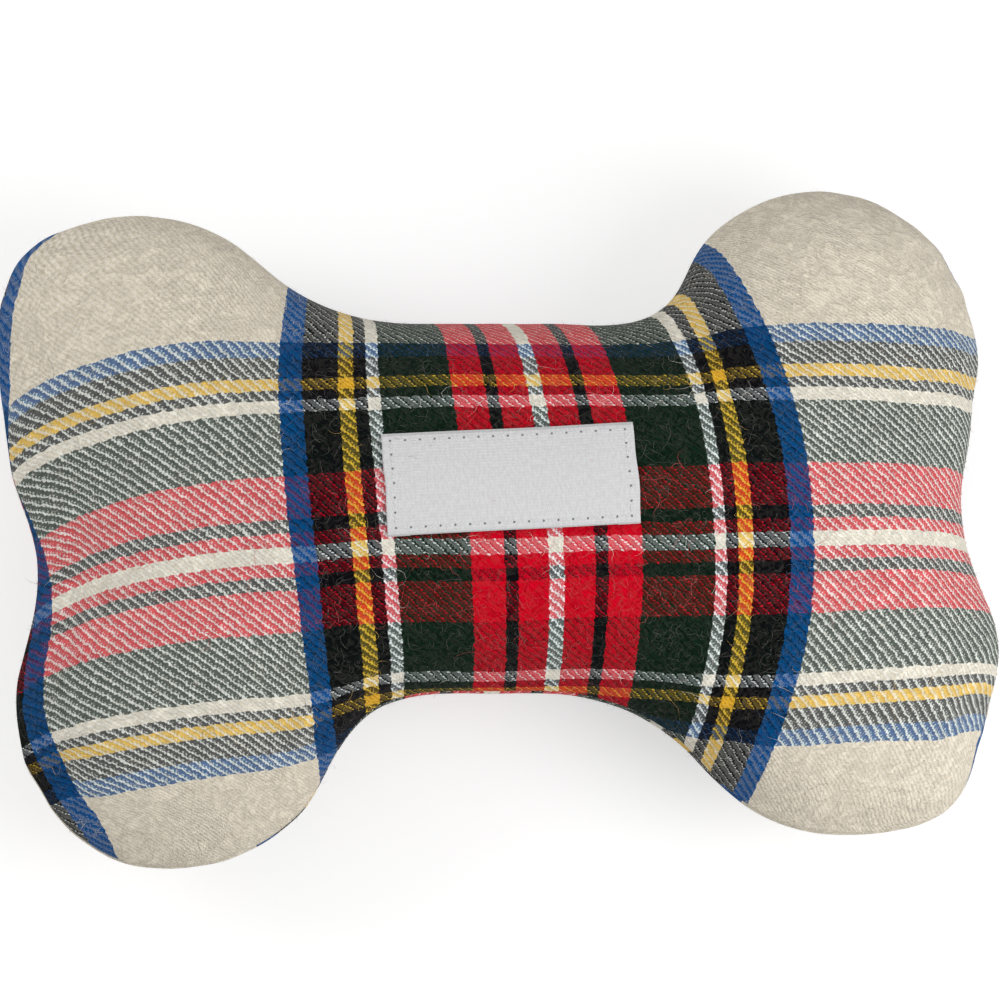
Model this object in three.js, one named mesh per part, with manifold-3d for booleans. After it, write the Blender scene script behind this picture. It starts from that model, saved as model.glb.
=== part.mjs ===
// A squeaky dog toy: a stuffed bone of brushed tartan cloth with a woven label and a reed squeaker inside.
// Millimetres, +Z up. The toy lies on its back panel: X runs along the bone, Y across it, and Z = 0 is the
// surface that it lies on. Every piece is worked out from the sizes below.
import * as THREE from 'three';
import { mergeVertices } from 'three/addons/utils/BufferGeometryUtils.js';
import Module from 'manifold-3d';

// Driving dimensions of the bone's outline, measured at the seam
const lobe_reach = 68;
const lobe_spread = 36.3;
const lobe_radius = 32;
const waist_half_width = 38.7;
const neck_radius = 30;
const notch_radius = 68;

// Stuffed by hand, no two lobes sit quite alike: the place and size of each one, and of the neck that
// joins it to the waist, as shares of the sizes above
const lobe_shares = {
  upper_left: { reach_share: -1.09, spread_share: 0.87, radius_share: 0.94, neck_share: 1.6 },
  lower_left: { reach_share: -0.97, spread_share: -1.12, radius_share: 1.03, neck_share: 0.7 },
  upper_right: { reach_share: 0.99, spread_share: 0.94, radius_share: 1.02, neck_share: 0.35 },
  lower_right: { reach_share: 0.99, spread_share: -0.94, radius_share: 1.06, neck_share: 1.35 },
};

// How full the bone is stuffed
const crown_height = 26.5;
const flat_depth = 0.5;
const fullness_share = 0.4;

// Cloth, sewing and the room between pieces
const cloth_thickness = 1.1;
const seam_allowance = 7;
const seam_gap = 0.3;
const thread_radius = 0.25;
const thread_inset = 1.6;
const clearance = 0.3;
const opening_length = 62;
const weld_distance = 0.00001;

// Woven label
const label_length = 52;
const label_width = 21;
const label_thickness = 0.5;
const label_tilt_degrees = 3;
const label_stitch_inset = 1.5;
const label_corner_radius = 1.2;
const label_thread_radius = 0.22;
const label_thread_gap = 0.12;

// Squeaker: a thin bladder with a reed whistle pressed into its nozzle
const bellows_radius = 21;
const bellows_height = 22;
const bellows_wall = 0.8;
const bellows_rim_width = 1.6;
const bellows_rim_thickness = 1.2;
const nozzle_depth = 6.5;
const bellows_roundness_share = 2 / 3;
const pocket_wall = 14;

// Reed whistle
const housing_radius = 4.5;
const housing_length = 9;
const housing_bore_radius = 3.4;
const housing_flange_radius = 6.2;
const housing_flange_thickness = 1;
const reed_length = 7.6;
const reed_width = 4.2;
const reed_thickness = 0.15;
const reed_clearance = 0.2;
const clamp_length = 2;
const groove_width = 2.2;
const groove_depth = 1.3;
const groove_end_wall = 2.4;

// Fineness of the surfaces, in counts
const cells_along = 22;
const cells_across = 16;
const rim_crowding_share = 0.35;
const relax_rounds = 3000;
const label_cells_along = 16;
const label_cells_across = 8;
const label_side_stations = 10;
const label_corner_stations = 3;
const thread_sides = 6;
const squeaker_segments = 32;
const dome_steps = 6;
const whistle_segments = 24;

const degrees = Math.PI / 180;
const seam_height = crown_height - flat_depth;
const half_gap = seam_gap / 2;

// Lobes, necks and notches: circles that touch one another make the outline
function lobe(name) {
  const shares = lobe_shares[name];
  return {
    x: lobe_reach * shares.reach_share,
    y: lobe_spread * shares.spread_share,
    radius: lobe_radius * shares.radius_share,
    neck_radius: neck_radius * shares.neck_share,
  };
}

const lobes = {
  upper_left: lobe('upper_left'),
  lower_left: lobe('lower_left'),
  upper_right: lobe('upper_right'),
  lower_right: lobe('lower_right'),
};

// A neck is the hollow circle that touches a lobe and the waist's straight edge
function neck(touched, up, right) {
  const y = up * (waist_half_width + touched.neck_radius);
  const apart = touched.radius + touched.neck_radius;
  const along = Math.sqrt(apart * apart - (y - touched.y) ** 2);
  return { x: touched.x - right * along, y, radius: touched.neck_radius };
}

const necks = {
  upper_left: neck(lobes.upper_left, 1, -1),
  lower_left: neck(lobes.lower_left, -1, -1),
  upper_right: neck(lobes.upper_right, 1, 1),
  lower_right: neck(lobes.lower_right, -1, 1),
};

// A notch is the hollow circle that touches both lobes of one end, outside the bone
function notch(lower, upper, right) {
  const span = Math.hypot(upper.x - lower.x, upper.y - lower.y);
  const from_lower = lower.radius + notch_radius;
  const from_upper = upper.radius + notch_radius;
  const along = (from_lower ** 2 - from_upper ** 2 + span ** 2) / (2 * span);
  const out = Math.sqrt(from_lower ** 2 - along ** 2);
  const step_x = (upper.x - lower.x) / span;
  const step_y = (upper.y - lower.y) / span;
  return {
    x: lower.x + along * step_x + right * out * step_y,
    y: lower.y + along * step_y - right * out * step_x,
    radius: notch_radius,
  };
}

const notches = {
  left: notch(lobes.lower_left, lobes.upper_left, -1),
  right: notch(lobes.lower_right, lobes.upper_right, 1),
};

function bearing(from, to) {
  return Math.atan2(to.y - from.y, to.x - from.x);
}

// The outline in four sides that meet on the lobes' diagonals, each drawn left to right or bottom to top
function arc(path, circle, start, end, clockwise) {
  path.absarc(circle.x, circle.y, circle.radius, start, end, clockwise);
}

function upper_side() {
  const path = new THREE.Path();
  const { upper_left, upper_right } = lobes;
  const down = -90 * degrees;
  arc(path, upper_left, 135 * degrees, bearing(upper_left, necks.upper_left), true);
  arc(path, necks.upper_left, bearing(necks.upper_left, upper_left), down, false);
  arc(path, necks.upper_right, down, bearing(necks.upper_right, upper_right), false);
  arc(path, upper_right, bearing(upper_right, necks.upper_right), 45 * degrees, true);
  return path;
}

function lower_side() {
  const path = new THREE.Path();
  const { lower_left, lower_right } = lobes;
  const up = 90 * degrees;
  arc(path, lower_left, -135 * degrees, bearing(lower_left, necks.lower_left), false);
  arc(path, necks.lower_left, bearing(necks.lower_left, lower_left), up, true);
  arc(path, necks.lower_right, up, bearing(necks.lower_right, lower_right), true);
  arc(path, lower_right, bearing(lower_right, necks.lower_right), -45 * degrees, false);
  return path;
}

function left_side() {
  const path = new THREE.Path();
  const { lower_left, upper_left } = lobes;
  arc(path, lower_left, -135 * degrees, bearing(lower_left, notches.left), true);
  arc(path, notches.left, bearing(notches.left, lower_left), bearing(notches.left, upper_left), false);
  arc(path, upper_left, bearing(upper_left, notches.left), 135 * degrees, true);
  return path;
}

function right_side() {
  const path = new THREE.Path();
  const { lower_right, upper_right } = lobes;
  arc(path, lower_right, -45 * degrees, bearing(lower_right, notches.right), false);
  arc(path, notches.right, bearing(notches.right, lower_right), bearing(notches.right, upper_right), true);
  arc(path, upper_right, bearing(upper_right, notches.right), 45 * degrees, false);
  return path;
}

const sides = { upper: upper_side(), lower: lower_side(), left: left_side(), right: right_side() };

// A grid over the whole outline, crowded towards the rim where the cloth turns down steeply
function crowd(share) {
  return share - (rim_crowding_share * Math.sin(2 * Math.PI * share)) / (2 * Math.PI);
}

function patch_point(u, v) {
  const low = sides.lower.getPoint(u);
  const high = sides.upper.getPoint(u);
  const left = sides.left.getPoint(v);
  const right = sides.right.getPoint(v);
  const corner = (across, along) => across.getPoint(along);
  const between = (a, b, share) => a.clone().lerp(b, share);
  const ruled_up = between(low, high, v);
  const ruled_along = between(left, right, u);
  const low_corners = between(corner(sides.lower, 0), corner(sides.lower, 1), u);
  const high_corners = between(corner(sides.upper, 0), corner(sides.upper, 1), u);
  return ruled_up.add(ruled_along).sub(between(low_corners, high_corners, v));
}

function make_grid(along, across, place) {
  const points = [];
  for (let j = 0; j <= across; j += 1) {
    for (let i = 0; i <= along; i += 1) {
      points.push(place(i, j));
    }
  }
  return { along, across, points };
}

function grid_index(grid, i, j) {
  return j * (grid.along + 1) + i;
}

// Two triangles a cell; the split points at the patch's corners, where the outline runs straight on
function grid_triangles(grid) {
  const triangles = [];
  for (let j = 0; j < grid.across; j += 1) {
    for (let i = 0; i < grid.along; i += 1) {
      const a = grid_index(grid, i, j);
      const b = grid_index(grid, i + 1, j);
      const c = grid_index(grid, i + 1, j + 1);
      const d = grid_index(grid, i, j + 1);
      if (i < grid.along / 2 === j < grid.across / 2) {
        triangles.push([a, b, c], [a, c, d]);
      } else {
        triangles.push([a, b, d], [b, c, d]);
      }
    }
  }
  return triangles;
}

// The grid's border, anticlockwise seen from above
function rim_indices(grid) {
  const rim = [];
  for (let i = 0; i < grid.along; i += 1) rim.push(grid_index(grid, i, 0));
  for (let j = 0; j < grid.across; j += 1) rim.push(grid_index(grid, grid.along, j));
  for (let i = grid.along; i > 0; i -= 1) rim.push(grid_index(grid, i, grid.across));
  for (let j = grid.across; j > 0; j -= 1) rim.push(grid_index(grid, 0, j));
  return rim;
}

const plan = make_grid(cells_along, cells_across, (i, j) =>
  patch_point(crowd(i / cells_along), crowd(j / cells_across)),
);
const plan_triangles = grid_triangles(plan);
const plan_rim = rim_indices(plan);
const on_rim = new Set(plan_rim);

// Inward direction at each point of the rim, square to the outline
function rim_directions() {
  const inward = [];
  const turn_left = (tangent) => new THREE.Vector2(-tangent.y, tangent.x);
  for (let i = 0; i < cells_along; i += 1) {
    inward.push(turn_left(sides.lower.getTangent(crowd(i / cells_along))));
  }
  for (let j = 0; j < cells_across; j += 1) {
    inward.push(turn_left(sides.right.getTangent(crowd(j / cells_across))));
  }
  for (let i = cells_along; i > 0; i -= 1) {
    inward.push(turn_left(sides.upper.getTangent(crowd(i / cells_along)).negate()));
  }
  for (let j = cells_across; j > 0; j -= 1) {
    inward.push(turn_left(sides.left.getTangent(crowd(j / cells_across)).negate()));
  }
  return inward;
}

const inward = rim_directions();

function rim_ring(offset, z) {
  return plan_rim.map((index, k) => {
    const point = plan.points[index].clone().addScaledVector(inward[k], offset);
    return new THREE.Vector3(point.x, point.y, z);
  });
}

// Stuffing swells the cloth as air swells a soap film: the film's height over the outline is relaxed
// until its curvature is the same everywhere, and a power of it gives the full, round-edged bone
function film_links() {
  const links = plan.points.map(() => new Map());
  const load = plan.points.map(() => 0);
  const add = (a, b, weight) => {
    links[a].set(b, (links[a].get(b) ?? 0) + weight);
    links[b].set(a, (links[b].get(a) ?? 0) + weight);
  };
  for (const corners of plan_triangles) {
    for (let turn = 0; turn < 3; turn += 1) {
      const [a, b, c] = [0, 1, 2].map((step) => corners[(turn + step) % 3]);
      const to_a = plan.points[a].clone().sub(plan.points[c]);
      const to_b = plan.points[b].clone().sub(plan.points[c]);
      const twice_area = to_a.cross(to_b);
      add(a, b, to_a.dot(to_b) / (2 * twice_area));
      load[c] += twice_area / 6;
    }
  }
  return { links, load };
}

function swell() {
  const { links, load } = film_links();
  const film = plan.points.map(() => 0);
  for (let round = 0; round < relax_rounds; round += 1) {
    for (let index = 0; index < film.length; index += 1) {
      if (on_rim.has(index)) continue;
      let pull = load[index];
      let total = 0;
      for (const [other, weight] of links[index]) {
        pull += weight * film[other];
        total += weight;
      }
      film[index] = pull / total;
    }
  }
  const highest = Math.max(...film);
  return film.map((height) => (height / highest) ** fullness_share);
}

const swelling = swell();

// The outer face of one panel, as heights over the seam's middle plane
function outer_face(crown_limit) {
  const start = half_gap + cloth_thickness / 2;
  const points = plan.points.map((point, index) => {
    const height = start + (crown_height - start) * swelling[index];
    return new THREE.Vector3(point.x, point.y, Math.min(height, crown_limit));
  });
  return { ...plan, points };
}

function point_normals(grid) {
  const normals = grid.points.map(() => new THREE.Vector3());
  for (const [a, b, c] of grid_triangles(grid)) {
    const to_b = grid.points[b].clone().sub(grid.points[a]);
    const to_c = grid.points[c].clone().sub(grid.points[a]);
    const face = to_b.cross(to_c);
    for (const index of [a, b, c]) normals[index].add(face);
  }
  return normals.map((normal) => normal.normalize());
}

// A face that lies a given depth under the outer one; its rim stands on the turned-in allowance
function under_face(outer, depth, rim_lift, crown_limit) {
  const normals = point_normals(outer);
  const points = outer.points.map((point, index) => {
    const inner = point.clone().addScaledVector(normals[index], -depth);
    inner.z = Math.min(inner.z, crown_limit);
    return inner;
  });
  const ring = rim_ring(depth, rim_lift);
  plan_rim.forEach((index, k) => points[index].copy(ring[k]));
  return { ...outer, points };
}

function flip_down(grid) {
  return { ...grid, points: grid.points.map((point) => new THREE.Vector3(point.x, point.y, -point.z)) };
}

function flip_ring(ring) {
  return ring.map((point) => new THREE.Vector3(point.x, point.y, -point.z));
}

// Turns lists of points and triangles into a mesh's geometry
function to_geometry(points, triangles) {
  const geometry = new THREE.BufferGeometry();
  const values = points.flatMap((point) => [point.x, point.y, point.z]);
  geometry.setAttribute('position', new THREE.Float32BufferAttribute(values, 3));
  geometry.setIndex(triangles.flat());
  geometry.computeVertexNormals();
  return geometry;
}

// A closed skin: an upper face, rings that lead down and round from its rim, and a lower face
function closed_skin(upper, rings, lower) {
  const points = [...upper.points];
  const triangles = grid_triangles(upper);
  const rim = rim_indices(upper);
  const loops = [rim];
  for (const ring of rings) {
    loops.push(ring.map((point, k) => points.length + k));
    points.push(...ring);
  }
  const base = points.length;
  points.push(...lower.points);
  loops.push(rim.map((index) => base + index));
  for (const [a, b, c] of grid_triangles(lower)) triangles.push([base + a, base + c, base + b]);
  for (let row = 0; row + 1 < loops.length; row += 1) {
    for (let k = 0; k < rim.length; k += 1) {
      const next = (k + 1) % rim.length;
      const [a, b, c, d] = [loops[row][k], loops[row + 1][k], loops[row + 1][next], loops[row][next]];
      triangles.push([a, b, c], [a, c, d]);
    }
  }
  return { points, triangles };
}

function turn_over(skin) {
  return { ...skin, triangles: skin.triangles.map(([a, b, c]) => [a, c, b]) };
}

// A panel: the crowned cloth, the fold at the seam, and the allowance that is turned in along the seam,
// with the channel that the stitches press into it
const channel_apex = (thread_radius + clearance) * Math.SQRT2;
const channel_half_width = channel_apex - half_gap;
const allowance_top = half_gap + cloth_thickness;

function seam_rings() {
  return [
    rim_ring(cloth_thickness / 2, half_gap),
    rim_ring(thread_inset - channel_half_width, half_gap),
    rim_ring(thread_inset, channel_apex),
    rim_ring(thread_inset + channel_half_width, half_gap),
    rim_ring(seam_allowance, half_gap),
    rim_ring(seam_allowance, allowance_top),
  ];
}

function panel_skin(crown_limit) {
  const outer = outer_face(crown_limit);
  const inner_limit = crown_limit - cloth_thickness;
  const inner = under_face(outer, cloth_thickness, allowance_top, inner_limit);
  return { outer, rings: seam_rings(), inner };
}

function front_panel() {
  const { outer, rings, inner } = panel_skin(crown_height);
  const { points, triangles } = closed_skin(outer, rings, inner);
  return to_geometry(points, triangles);
}

function back_panel() {
  const { outer, rings, inner } = panel_skin(seam_height);
  const skin = closed_skin(flip_down(outer), rings.map(flip_ring), flip_down(inner));
  const { points, triangles } = turn_over(skin);
  return to_geometry(points, triangles);
}

// A thread: a many-sided tube through stations, each a centre with two square directions
function thread(stations, radius, is_loop) {
  const points = [];
  const triangles = [];
  for (const { centre, first, second } of stations) {
    for (let side = 0; side < thread_sides; side += 1) {
      const turn = (2 * Math.PI * side) / thread_sides;
      const point = centre.clone().addScaledVector(first, radius * Math.cos(turn));
      points.push(point.addScaledVector(second, radius * Math.sin(turn)));
    }
  }
  const last = is_loop ? stations.length : stations.length - 1;
  for (let row = 0; row < last; row += 1) {
    const next_row = (row + 1) % stations.length;
    for (let side = 0; side < thread_sides; side += 1) {
      const next = (side + 1) % thread_sides;
      const [a, b] = [row * thread_sides + side, row * thread_sides + next];
      const [c, d] = [next_row * thread_sides + next, next_row * thread_sides + side];
      triangles.push([a, b, c], [a, c, d]);
    }
  }
  if (!is_loop) {
    const end = (stations.length - 1) * thread_sides;
    for (let side = 1; side + 1 < thread_sides; side += 1) {
      triangles.push([0, side + 1, side], [end, end + side, end + side + 1]);
    }
  }
  return to_geometry(points, triangles);
}

// The machine seam runs round the bone and leaves an opening on the right end; the closing thread fills it
function seam_stations() {
  const up = new THREE.Vector3(0, 0, 1);
  return rim_ring(thread_inset, 0).map((centre, k) => ({
    centre,
    first: up,
    second: new THREE.Vector3(-inward[k].x, -inward[k].y, 0),
  }));
}

function opening_span(stations) {
  const middle = cells_along + cells_across / 2;
  let reach = 0;
  let length = 0;
  while (length < opening_length) {
    reach += 1;
    length = stations[middle - reach].centre.distanceTo(stations[middle + reach].centre);
  }
  return { first: middle - reach, last: middle + reach };
}

function shortened(stations, gap) {
  const cut = [...stations];
  const move = (index, towards) => {
    const station = cut[index];
    const step = cut[towards].centre.clone().sub(station.centre).setLength(gap);
    cut[index] = { ...station, centre: station.centre.clone().add(step) };
  };
  move(0, 1);
  move(cut.length - 1, cut.length - 2);
  return cut;
}

function seam_thread() {
  const stations = seam_stations();
  const { first, last } = opening_span(stations);
  const round = [...stations.slice(last), ...stations.slice(0, first + 1)];
  return thread(round, thread_radius, false);
}

function closing_thread() {
  const stations = seam_stations();
  const { first, last } = opening_span(stations);
  return thread(shortened(stations.slice(first, last + 1), clearance), thread_radius, false);
}

// The front's outer face under any point, for what is sewn on it
const front_face = outer_face(crown_height);

function front_at(x, y) {
  const probe = new THREE.Vector3(x, y, 0);
  for (const corners of plan_triangles) {
    const [a, b, c] = corners.map((index) => front_face.points[index]);
    const flat = [a, b, c].map((point) => new THREE.Vector3(point.x, point.y, 0));
    const weights = THREE.Triangle.getBarycoord(probe, ...flat, new THREE.Vector3());
    if (weights && Math.min(weights.x, weights.y, weights.z) >= 0) {
      const point = new THREE.Vector3(x, y, a.z * weights.x + b.z * weights.y + c.z * weights.z);
      return { point, normals: corners, weights };
    }
  }
  throw new Error('the label reaches past the front panel');
}

const front_normals = point_normals(front_face);

function front_normal(found) {
  const [a, b, c] = found.normals.map((index) => front_normals[index]);
  const normal = new THREE.Vector3().addScaledVector(a, found.weights.x);
  normal.addScaledVector(b, found.weights.y);
  return normal.addScaledVector(c, found.weights.z).normalize();
}

// A place on the label: along and across it from its middle, and lifted off the cloth
function on_label(along, across, lift) {
  const tilt = label_tilt_degrees * degrees;
  const x = along * Math.cos(tilt) - across * Math.sin(tilt);
  const y = along * Math.sin(tilt) + across * Math.cos(tilt);
  const found = front_at(x, y);
  const normal = front_normal(found);
  return { point: found.point.addScaledVector(normal, lift), normal };
}

function label_face(lift) {
  return make_grid(label_cells_along, label_cells_across, (i, j) => {
    const along = label_length * (i / label_cells_along - 1 / 2);
    const across = label_width * (j / label_cells_across - 1 / 2);
    return on_label(along, across, lift).point;
  });
}

function label() {
  const { points, triangles } = closed_skin(label_face(clearance + label_thickness), [], label_face(clearance));
  return to_geometry(points, triangles);
}

// The stitch line runs round the label inside its edge, with small round corners
function label_thread() {
  const half_along = label_length / 2 - label_stitch_inset - label_corner_radius;
  const half_across = label_width / 2 - label_stitch_inset - label_corner_radius;
  const corners = [[1, 1], [-1, 1], [-1, -1], [1, -1]];
  const route = [];
  corners.forEach(([right, up], quarter) => {
    for (let step = 0; step <= label_corner_stations; step += 1) {
      const turn = (quarter + step / label_corner_stations) * 90 * degrees;
      const reach = new THREE.Vector2(Math.cos(turn), Math.sin(turn));
      const centre = new THREE.Vector2(right * half_along, up * half_across);
      route.push({ place: centre.addScaledVector(reach, label_corner_radius), reach });
    }
    const [next_right, next_up] = corners[(quarter + 1) % 4];
    const start = route[route.length - 1];
    const end = new THREE.Vector2(next_right * half_along, next_up * half_across);
    end.addScaledVector(start.reach, label_corner_radius);
    for (let step = 1; step < label_side_stations; step += 1) {
      const place = start.place.clone().lerp(end, step / label_side_stations);
      route.push({ place, reach: start.reach });
    }
  });
  const lift = clearance + label_thickness + label_thread_gap + label_thread_radius;
  const tilt = label_tilt_degrees * degrees;
  const stations = route.map(({ place, reach }) => {
    const { point, normal } = on_label(place.x, place.y, lift);
    const out = reach.clone().rotateAround(new THREE.Vector2(), tilt);
    const second = new THREE.Vector3(out.x, out.y, 0);
    second.addScaledVector(normal, -second.dot(normal)).normalize();
    return { centre: point, first: normal, second };
  });
  return thread(stations, label_thread_radius, true);
}

// Solids for joining and cutting
const wasm = await Module();
wasm.setup();

function to_solid(geometry) {
  const bare = geometry.clone();
  for (const name of Object.keys(bare.attributes)) {
    if (name !== 'position') bare.deleteAttribute(name);
  }
  const merged = mergeVertices(bare, weld_distance);
  return new wasm.Manifold(
    new wasm.Mesh({
      numProp: 3,
      vertProperties: new Float32Array(merged.attributes.position.array),
      triVerts: new Uint32Array(merged.index.array),
    }),
  );
}

function from_solid(solid) {
  const mesh = solid.getMesh();
  const geometry = new THREE.BufferGeometry();
  geometry.setAttribute('position', new THREE.BufferAttribute(mesh.vertProperties, 3));
  geometry.setIndex(new THREE.BufferAttribute(mesh.triVerts, 1));
  geometry.computeVertexNormals();
  return geometry;
}

function block(low, high) {
  const size = high.clone().sub(low);
  const geometry = new THREE.BoxGeometry(size.x, size.y, size.z);
  const middle = low.clone().add(high).multiplyScalar(1 / 2);
  return to_solid(geometry.translate(middle.x, middle.y, middle.z));
}

// All of the stuffing's room: inside both panels, wrapped round the turned-in allowances
function stuffing_room() {
  const depth = cloth_thickness + clearance;
  const lift = allowance_top + clearance;
  const reach = seam_allowance + clearance;
  const upper = under_face(outer_face(crown_height), depth, lift, crown_height - depth);
  const lower = flip_down(under_face(outer_face(seam_height), depth, lift, seam_height - depth));
  const skin = closed_skin(upper, [rim_ring(reach, lift), rim_ring(reach, -lift)], lower);
  return to_solid(to_geometry(skin.points, skin.triangles));
}

// Squeaker bladder, seen in section: a full round edge with a welded rim, and a nozzle turned in below
const nozzle_bore_radius = housing_radius + clearance;

function dome_arc(radius, height, up) {
  const points = [];
  for (let step = 0; step <= dome_steps; step += 1) {
    const turn = (step / dome_steps) * 90 * degrees;
    const out = radius * Math.sin(turn) ** bellows_roundness_share;
    const over = height * Math.cos(turn) ** bellows_roundness_share;
    points.push(new THREE.Vector2(out, up * over));
  }
  return points;
}

function bladder_profile(grow) {
  const radius = bellows_radius - bellows_rim_width + grow;
  const height = bellows_height / 2 + grow;
  const rim_half = bellows_rim_thickness / 2 + grow;
  const keep = (points) => points.filter((point) => Math.abs(point.y) > rim_half);
  const upper = keep(dome_arc(radius, height, 1));
  const lower = keep(dome_arc(radius, height, -1)).reverse();
  const rim = [
    new THREE.Vector2(radius, rim_half),
    new THREE.Vector2(bellows_radius + grow, rim_half),
    new THREE.Vector2(bellows_radius + grow, -rim_half),
    new THREE.Vector2(radius, -rim_half),
  ];
  return [...upper, ...rim, ...lower];
}

function inner_profile() {
  const radius = bellows_radius - bellows_rim_width - bellows_wall;
  const height = bellows_height / 2 - bellows_wall;
  return [...dome_arc(radius, height, -1), ...dome_arc(radius, height, 1).reverse().slice(1)];
}

function revolve(points, segments) {
  const geometry = new THREE.LatheGeometry(points, segments);
  return geometry.rotateX(90 * degrees);
}

function squeaker_bellows() {
  const base = -bellows_height / 2;
  const outside = bladder_profile(0).filter((point) => point.y > base);
  const inside = inner_profile().filter((point) => point.y > base + bellows_wall);
  const top = base + nozzle_depth;
  const nozzle = [
    new THREE.Vector2(nozzle_bore_radius, base),
    new THREE.Vector2(nozzle_bore_radius, top),
    new THREE.Vector2(nozzle_bore_radius + bellows_wall, top),
    new THREE.Vector2(nozzle_bore_radius + bellows_wall, base + bellows_wall),
  ];
  return revolve([...outside, ...nozzle, ...inside].reverse(), squeaker_segments);
}

// The pocket in the stuffing that the squeaker lies in, flange and all
const flange_low = -bellows_height / 2 - clearance - housing_flange_thickness;

function squeaker_pocket() {
  const bladder = to_solid(revolve(bladder_profile(clearance).reverse(), squeaker_segments));
  const radius = housing_flange_radius + clearance;
  const low = flange_low - clearance;
  const well = new THREE.CylinderGeometry(radius, radius, -low, whistle_segments).rotateX(90 * degrees);
  return bladder.add(to_solid(well.translate(0, 0, low / 2)));
}

// Stuffing as it is put in: a handful in each lobe, a bed under the squeaker and a pad over it
const split_reach = bellows_radius + clearance + pocket_wall;
const room_reach = lobe_reach * 2 + lobe_radius * 2;

function end_handful(room, right, up) {
  const pair = right > 0 ? [lobes.lower_right, lobes.upper_right] : [lobes.lower_left, lobes.upper_left];
  const split = (pair[0].y + pair[1].y) / 2;
  const near = new THREE.Vector3(right * (split_reach + half_gap), split + up * half_gap, -room_reach);
  const far = new THREE.Vector3(right * room_reach, up * room_reach, room_reach);
  const low = near.clone().min(far);
  return from_solid(room.intersect(block(low, near.clone().max(far))));
}

function middle_pad(room, pocket, up) {
  const reach = split_reach - half_gap;
  const near = new THREE.Vector3(-reach, -room_reach, up * half_gap);
  const far = new THREE.Vector3(reach, room_reach, up * room_reach);
  const low = near.clone().min(far);
  return from_solid(room.intersect(block(low, near.clone().max(far))).subtract(pocket));
}

// Reed whistle: a flanged tube, with the reed laid over a grooved half-round and held by a half-round clamp
function reed_housing() {
  const low = flange_low;
  const flange_top = low + housing_flange_thickness;
  const top = low + housing_length;
  return revolve(
    [
      new THREE.Vector2(housing_bore_radius, low),
      new THREE.Vector2(housing_flange_radius, low),
      new THREE.Vector2(housing_flange_radius, flange_top),
      new THREE.Vector2(housing_radius, flange_top),
      new THREE.Vector2(housing_radius, top),
      new THREE.Vector2(housing_bore_radius, top),
      new THREE.Vector2(housing_bore_radius, low),
    ],
    whistle_segments,
  );
}

// The half-rounds and the reed stand on the same line, just inside the housing's upper end
const reed_low = flange_low + (housing_length - reed_length) / 2;
const core_radius = housing_bore_radius - clearance;
const face_offset = reed_thickness / 2 + reed_clearance;

function half_round(side, length) {
  const start = Math.acos(face_offset / core_radius);
  const shape = new THREE.Shape();
  shape.absarc(0, 0, core_radius, -start, start, false);
  shape.closePath();
  const geometry = new THREE.ExtrudeGeometry(shape, {
    depth: length,
    bevelEnabled: false,
    curveSegments: whistle_segments / 2,
  });
  return geometry.rotateZ(side > 0 ? 0 : Math.PI);
}

function reed_trough() {
  const body = to_solid(half_round(-1, reed_length));
  const groove = block(
    new THREE.Vector3(-face_offset - groove_depth, -groove_width / 2, groove_end_wall),
    new THREE.Vector3(core_radius, groove_width / 2, reed_length + core_radius),
  );
  return from_solid(body.subtract(groove)).translate(0, 0, reed_low);
}

function reed_clamp() {
  return half_round(1, clamp_length).translate(0, 0, reed_low);
}

function reed_blade() {
  const tip_radius = reed_width / 2;
  const shape = new THREE.Shape();
  shape.moveTo(-tip_radius, 0);
  shape.lineTo(tip_radius, 0);
  shape.lineTo(tip_radius, reed_length - tip_radius);
  shape.absarc(0, reed_length - tip_radius, tip_radius, 0, Math.PI, false);
  shape.closePath();
  const geometry = new THREE.ExtrudeGeometry(shape, {
    depth: reed_thickness,
    bevelEnabled: false,
    curveSegments: whistle_segments / 4,
  });
  geometry.translate(0, 0, -reed_thickness / 2);
  geometry.rotateX(90 * degrees);
  geometry.rotateZ(90 * degrees);
  return geometry.translate(0, 0, reed_low);
}

// Finishes of the real pieces
function finish(color, roughness, metalness = 0) {
  return new THREE.MeshStandardMaterial({ color, roughness, metalness });
}

// The bone, laid down with the middle of its outline over the origin
const toy = new THREE.Group();
const outline_box = new THREE.Box2().setFromPoints(plan.points);
const outline_centre = outline_box.getCenter(new THREE.Vector2());
toy.position.set(-outline_centre.x, -outline_centre.y, seam_height);

function add_piece(name, geometry, material) {
  const mesh = new THREE.Mesh(geometry, material);
  mesh.name = name;
  toy.add(mesh);
}

const room = stuffing_room();
const pocket = squeaker_pocket();

add_piece('front_panel', front_panel(), finish(0x8a3a44, 0.95));
add_piece('back_panel', back_panel(), finish(0x8a3a44, 0.95));
add_piece('seam_thread', seam_thread(), finish(0xd9d4c4, 0.8));
add_piece('closing_thread', closing_thread(), finish(0xd9d4c4, 0.8));
add_piece('label', label(), finish(0xe1e1e4, 0.7));
add_piece('label_thread', label_thread(), finish(0xeeeef0, 0.6));
add_piece('fill_upper_left', end_handful(room, -1, 1), finish(0xf4f4f2, 0.95));
add_piece('fill_lower_left', end_handful(room, -1, -1), finish(0xf4f4f2, 0.95));
add_piece('fill_upper_right', end_handful(room, 1, 1), finish(0xf4f4f2, 0.95));
add_piece('fill_lower_right', end_handful(room, 1, -1), finish(0xf4f4f2, 0.95));
add_piece('fill_back', middle_pad(room, pocket, -1), finish(0xf4f4f2, 0.95));
add_piece('fill_front', middle_pad(room, pocket, 1), finish(0xf4f4f2, 0.95));
add_piece('squeaker_bellows', squeaker_bellows(), finish(0xe8e6dc, 0.35));
add_piece('reed_housing', reed_housing(), finish(0xdedede, 0.4));
add_piece('reed_trough', reed_trough(), finish(0xc9ced4, 0.4));
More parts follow.
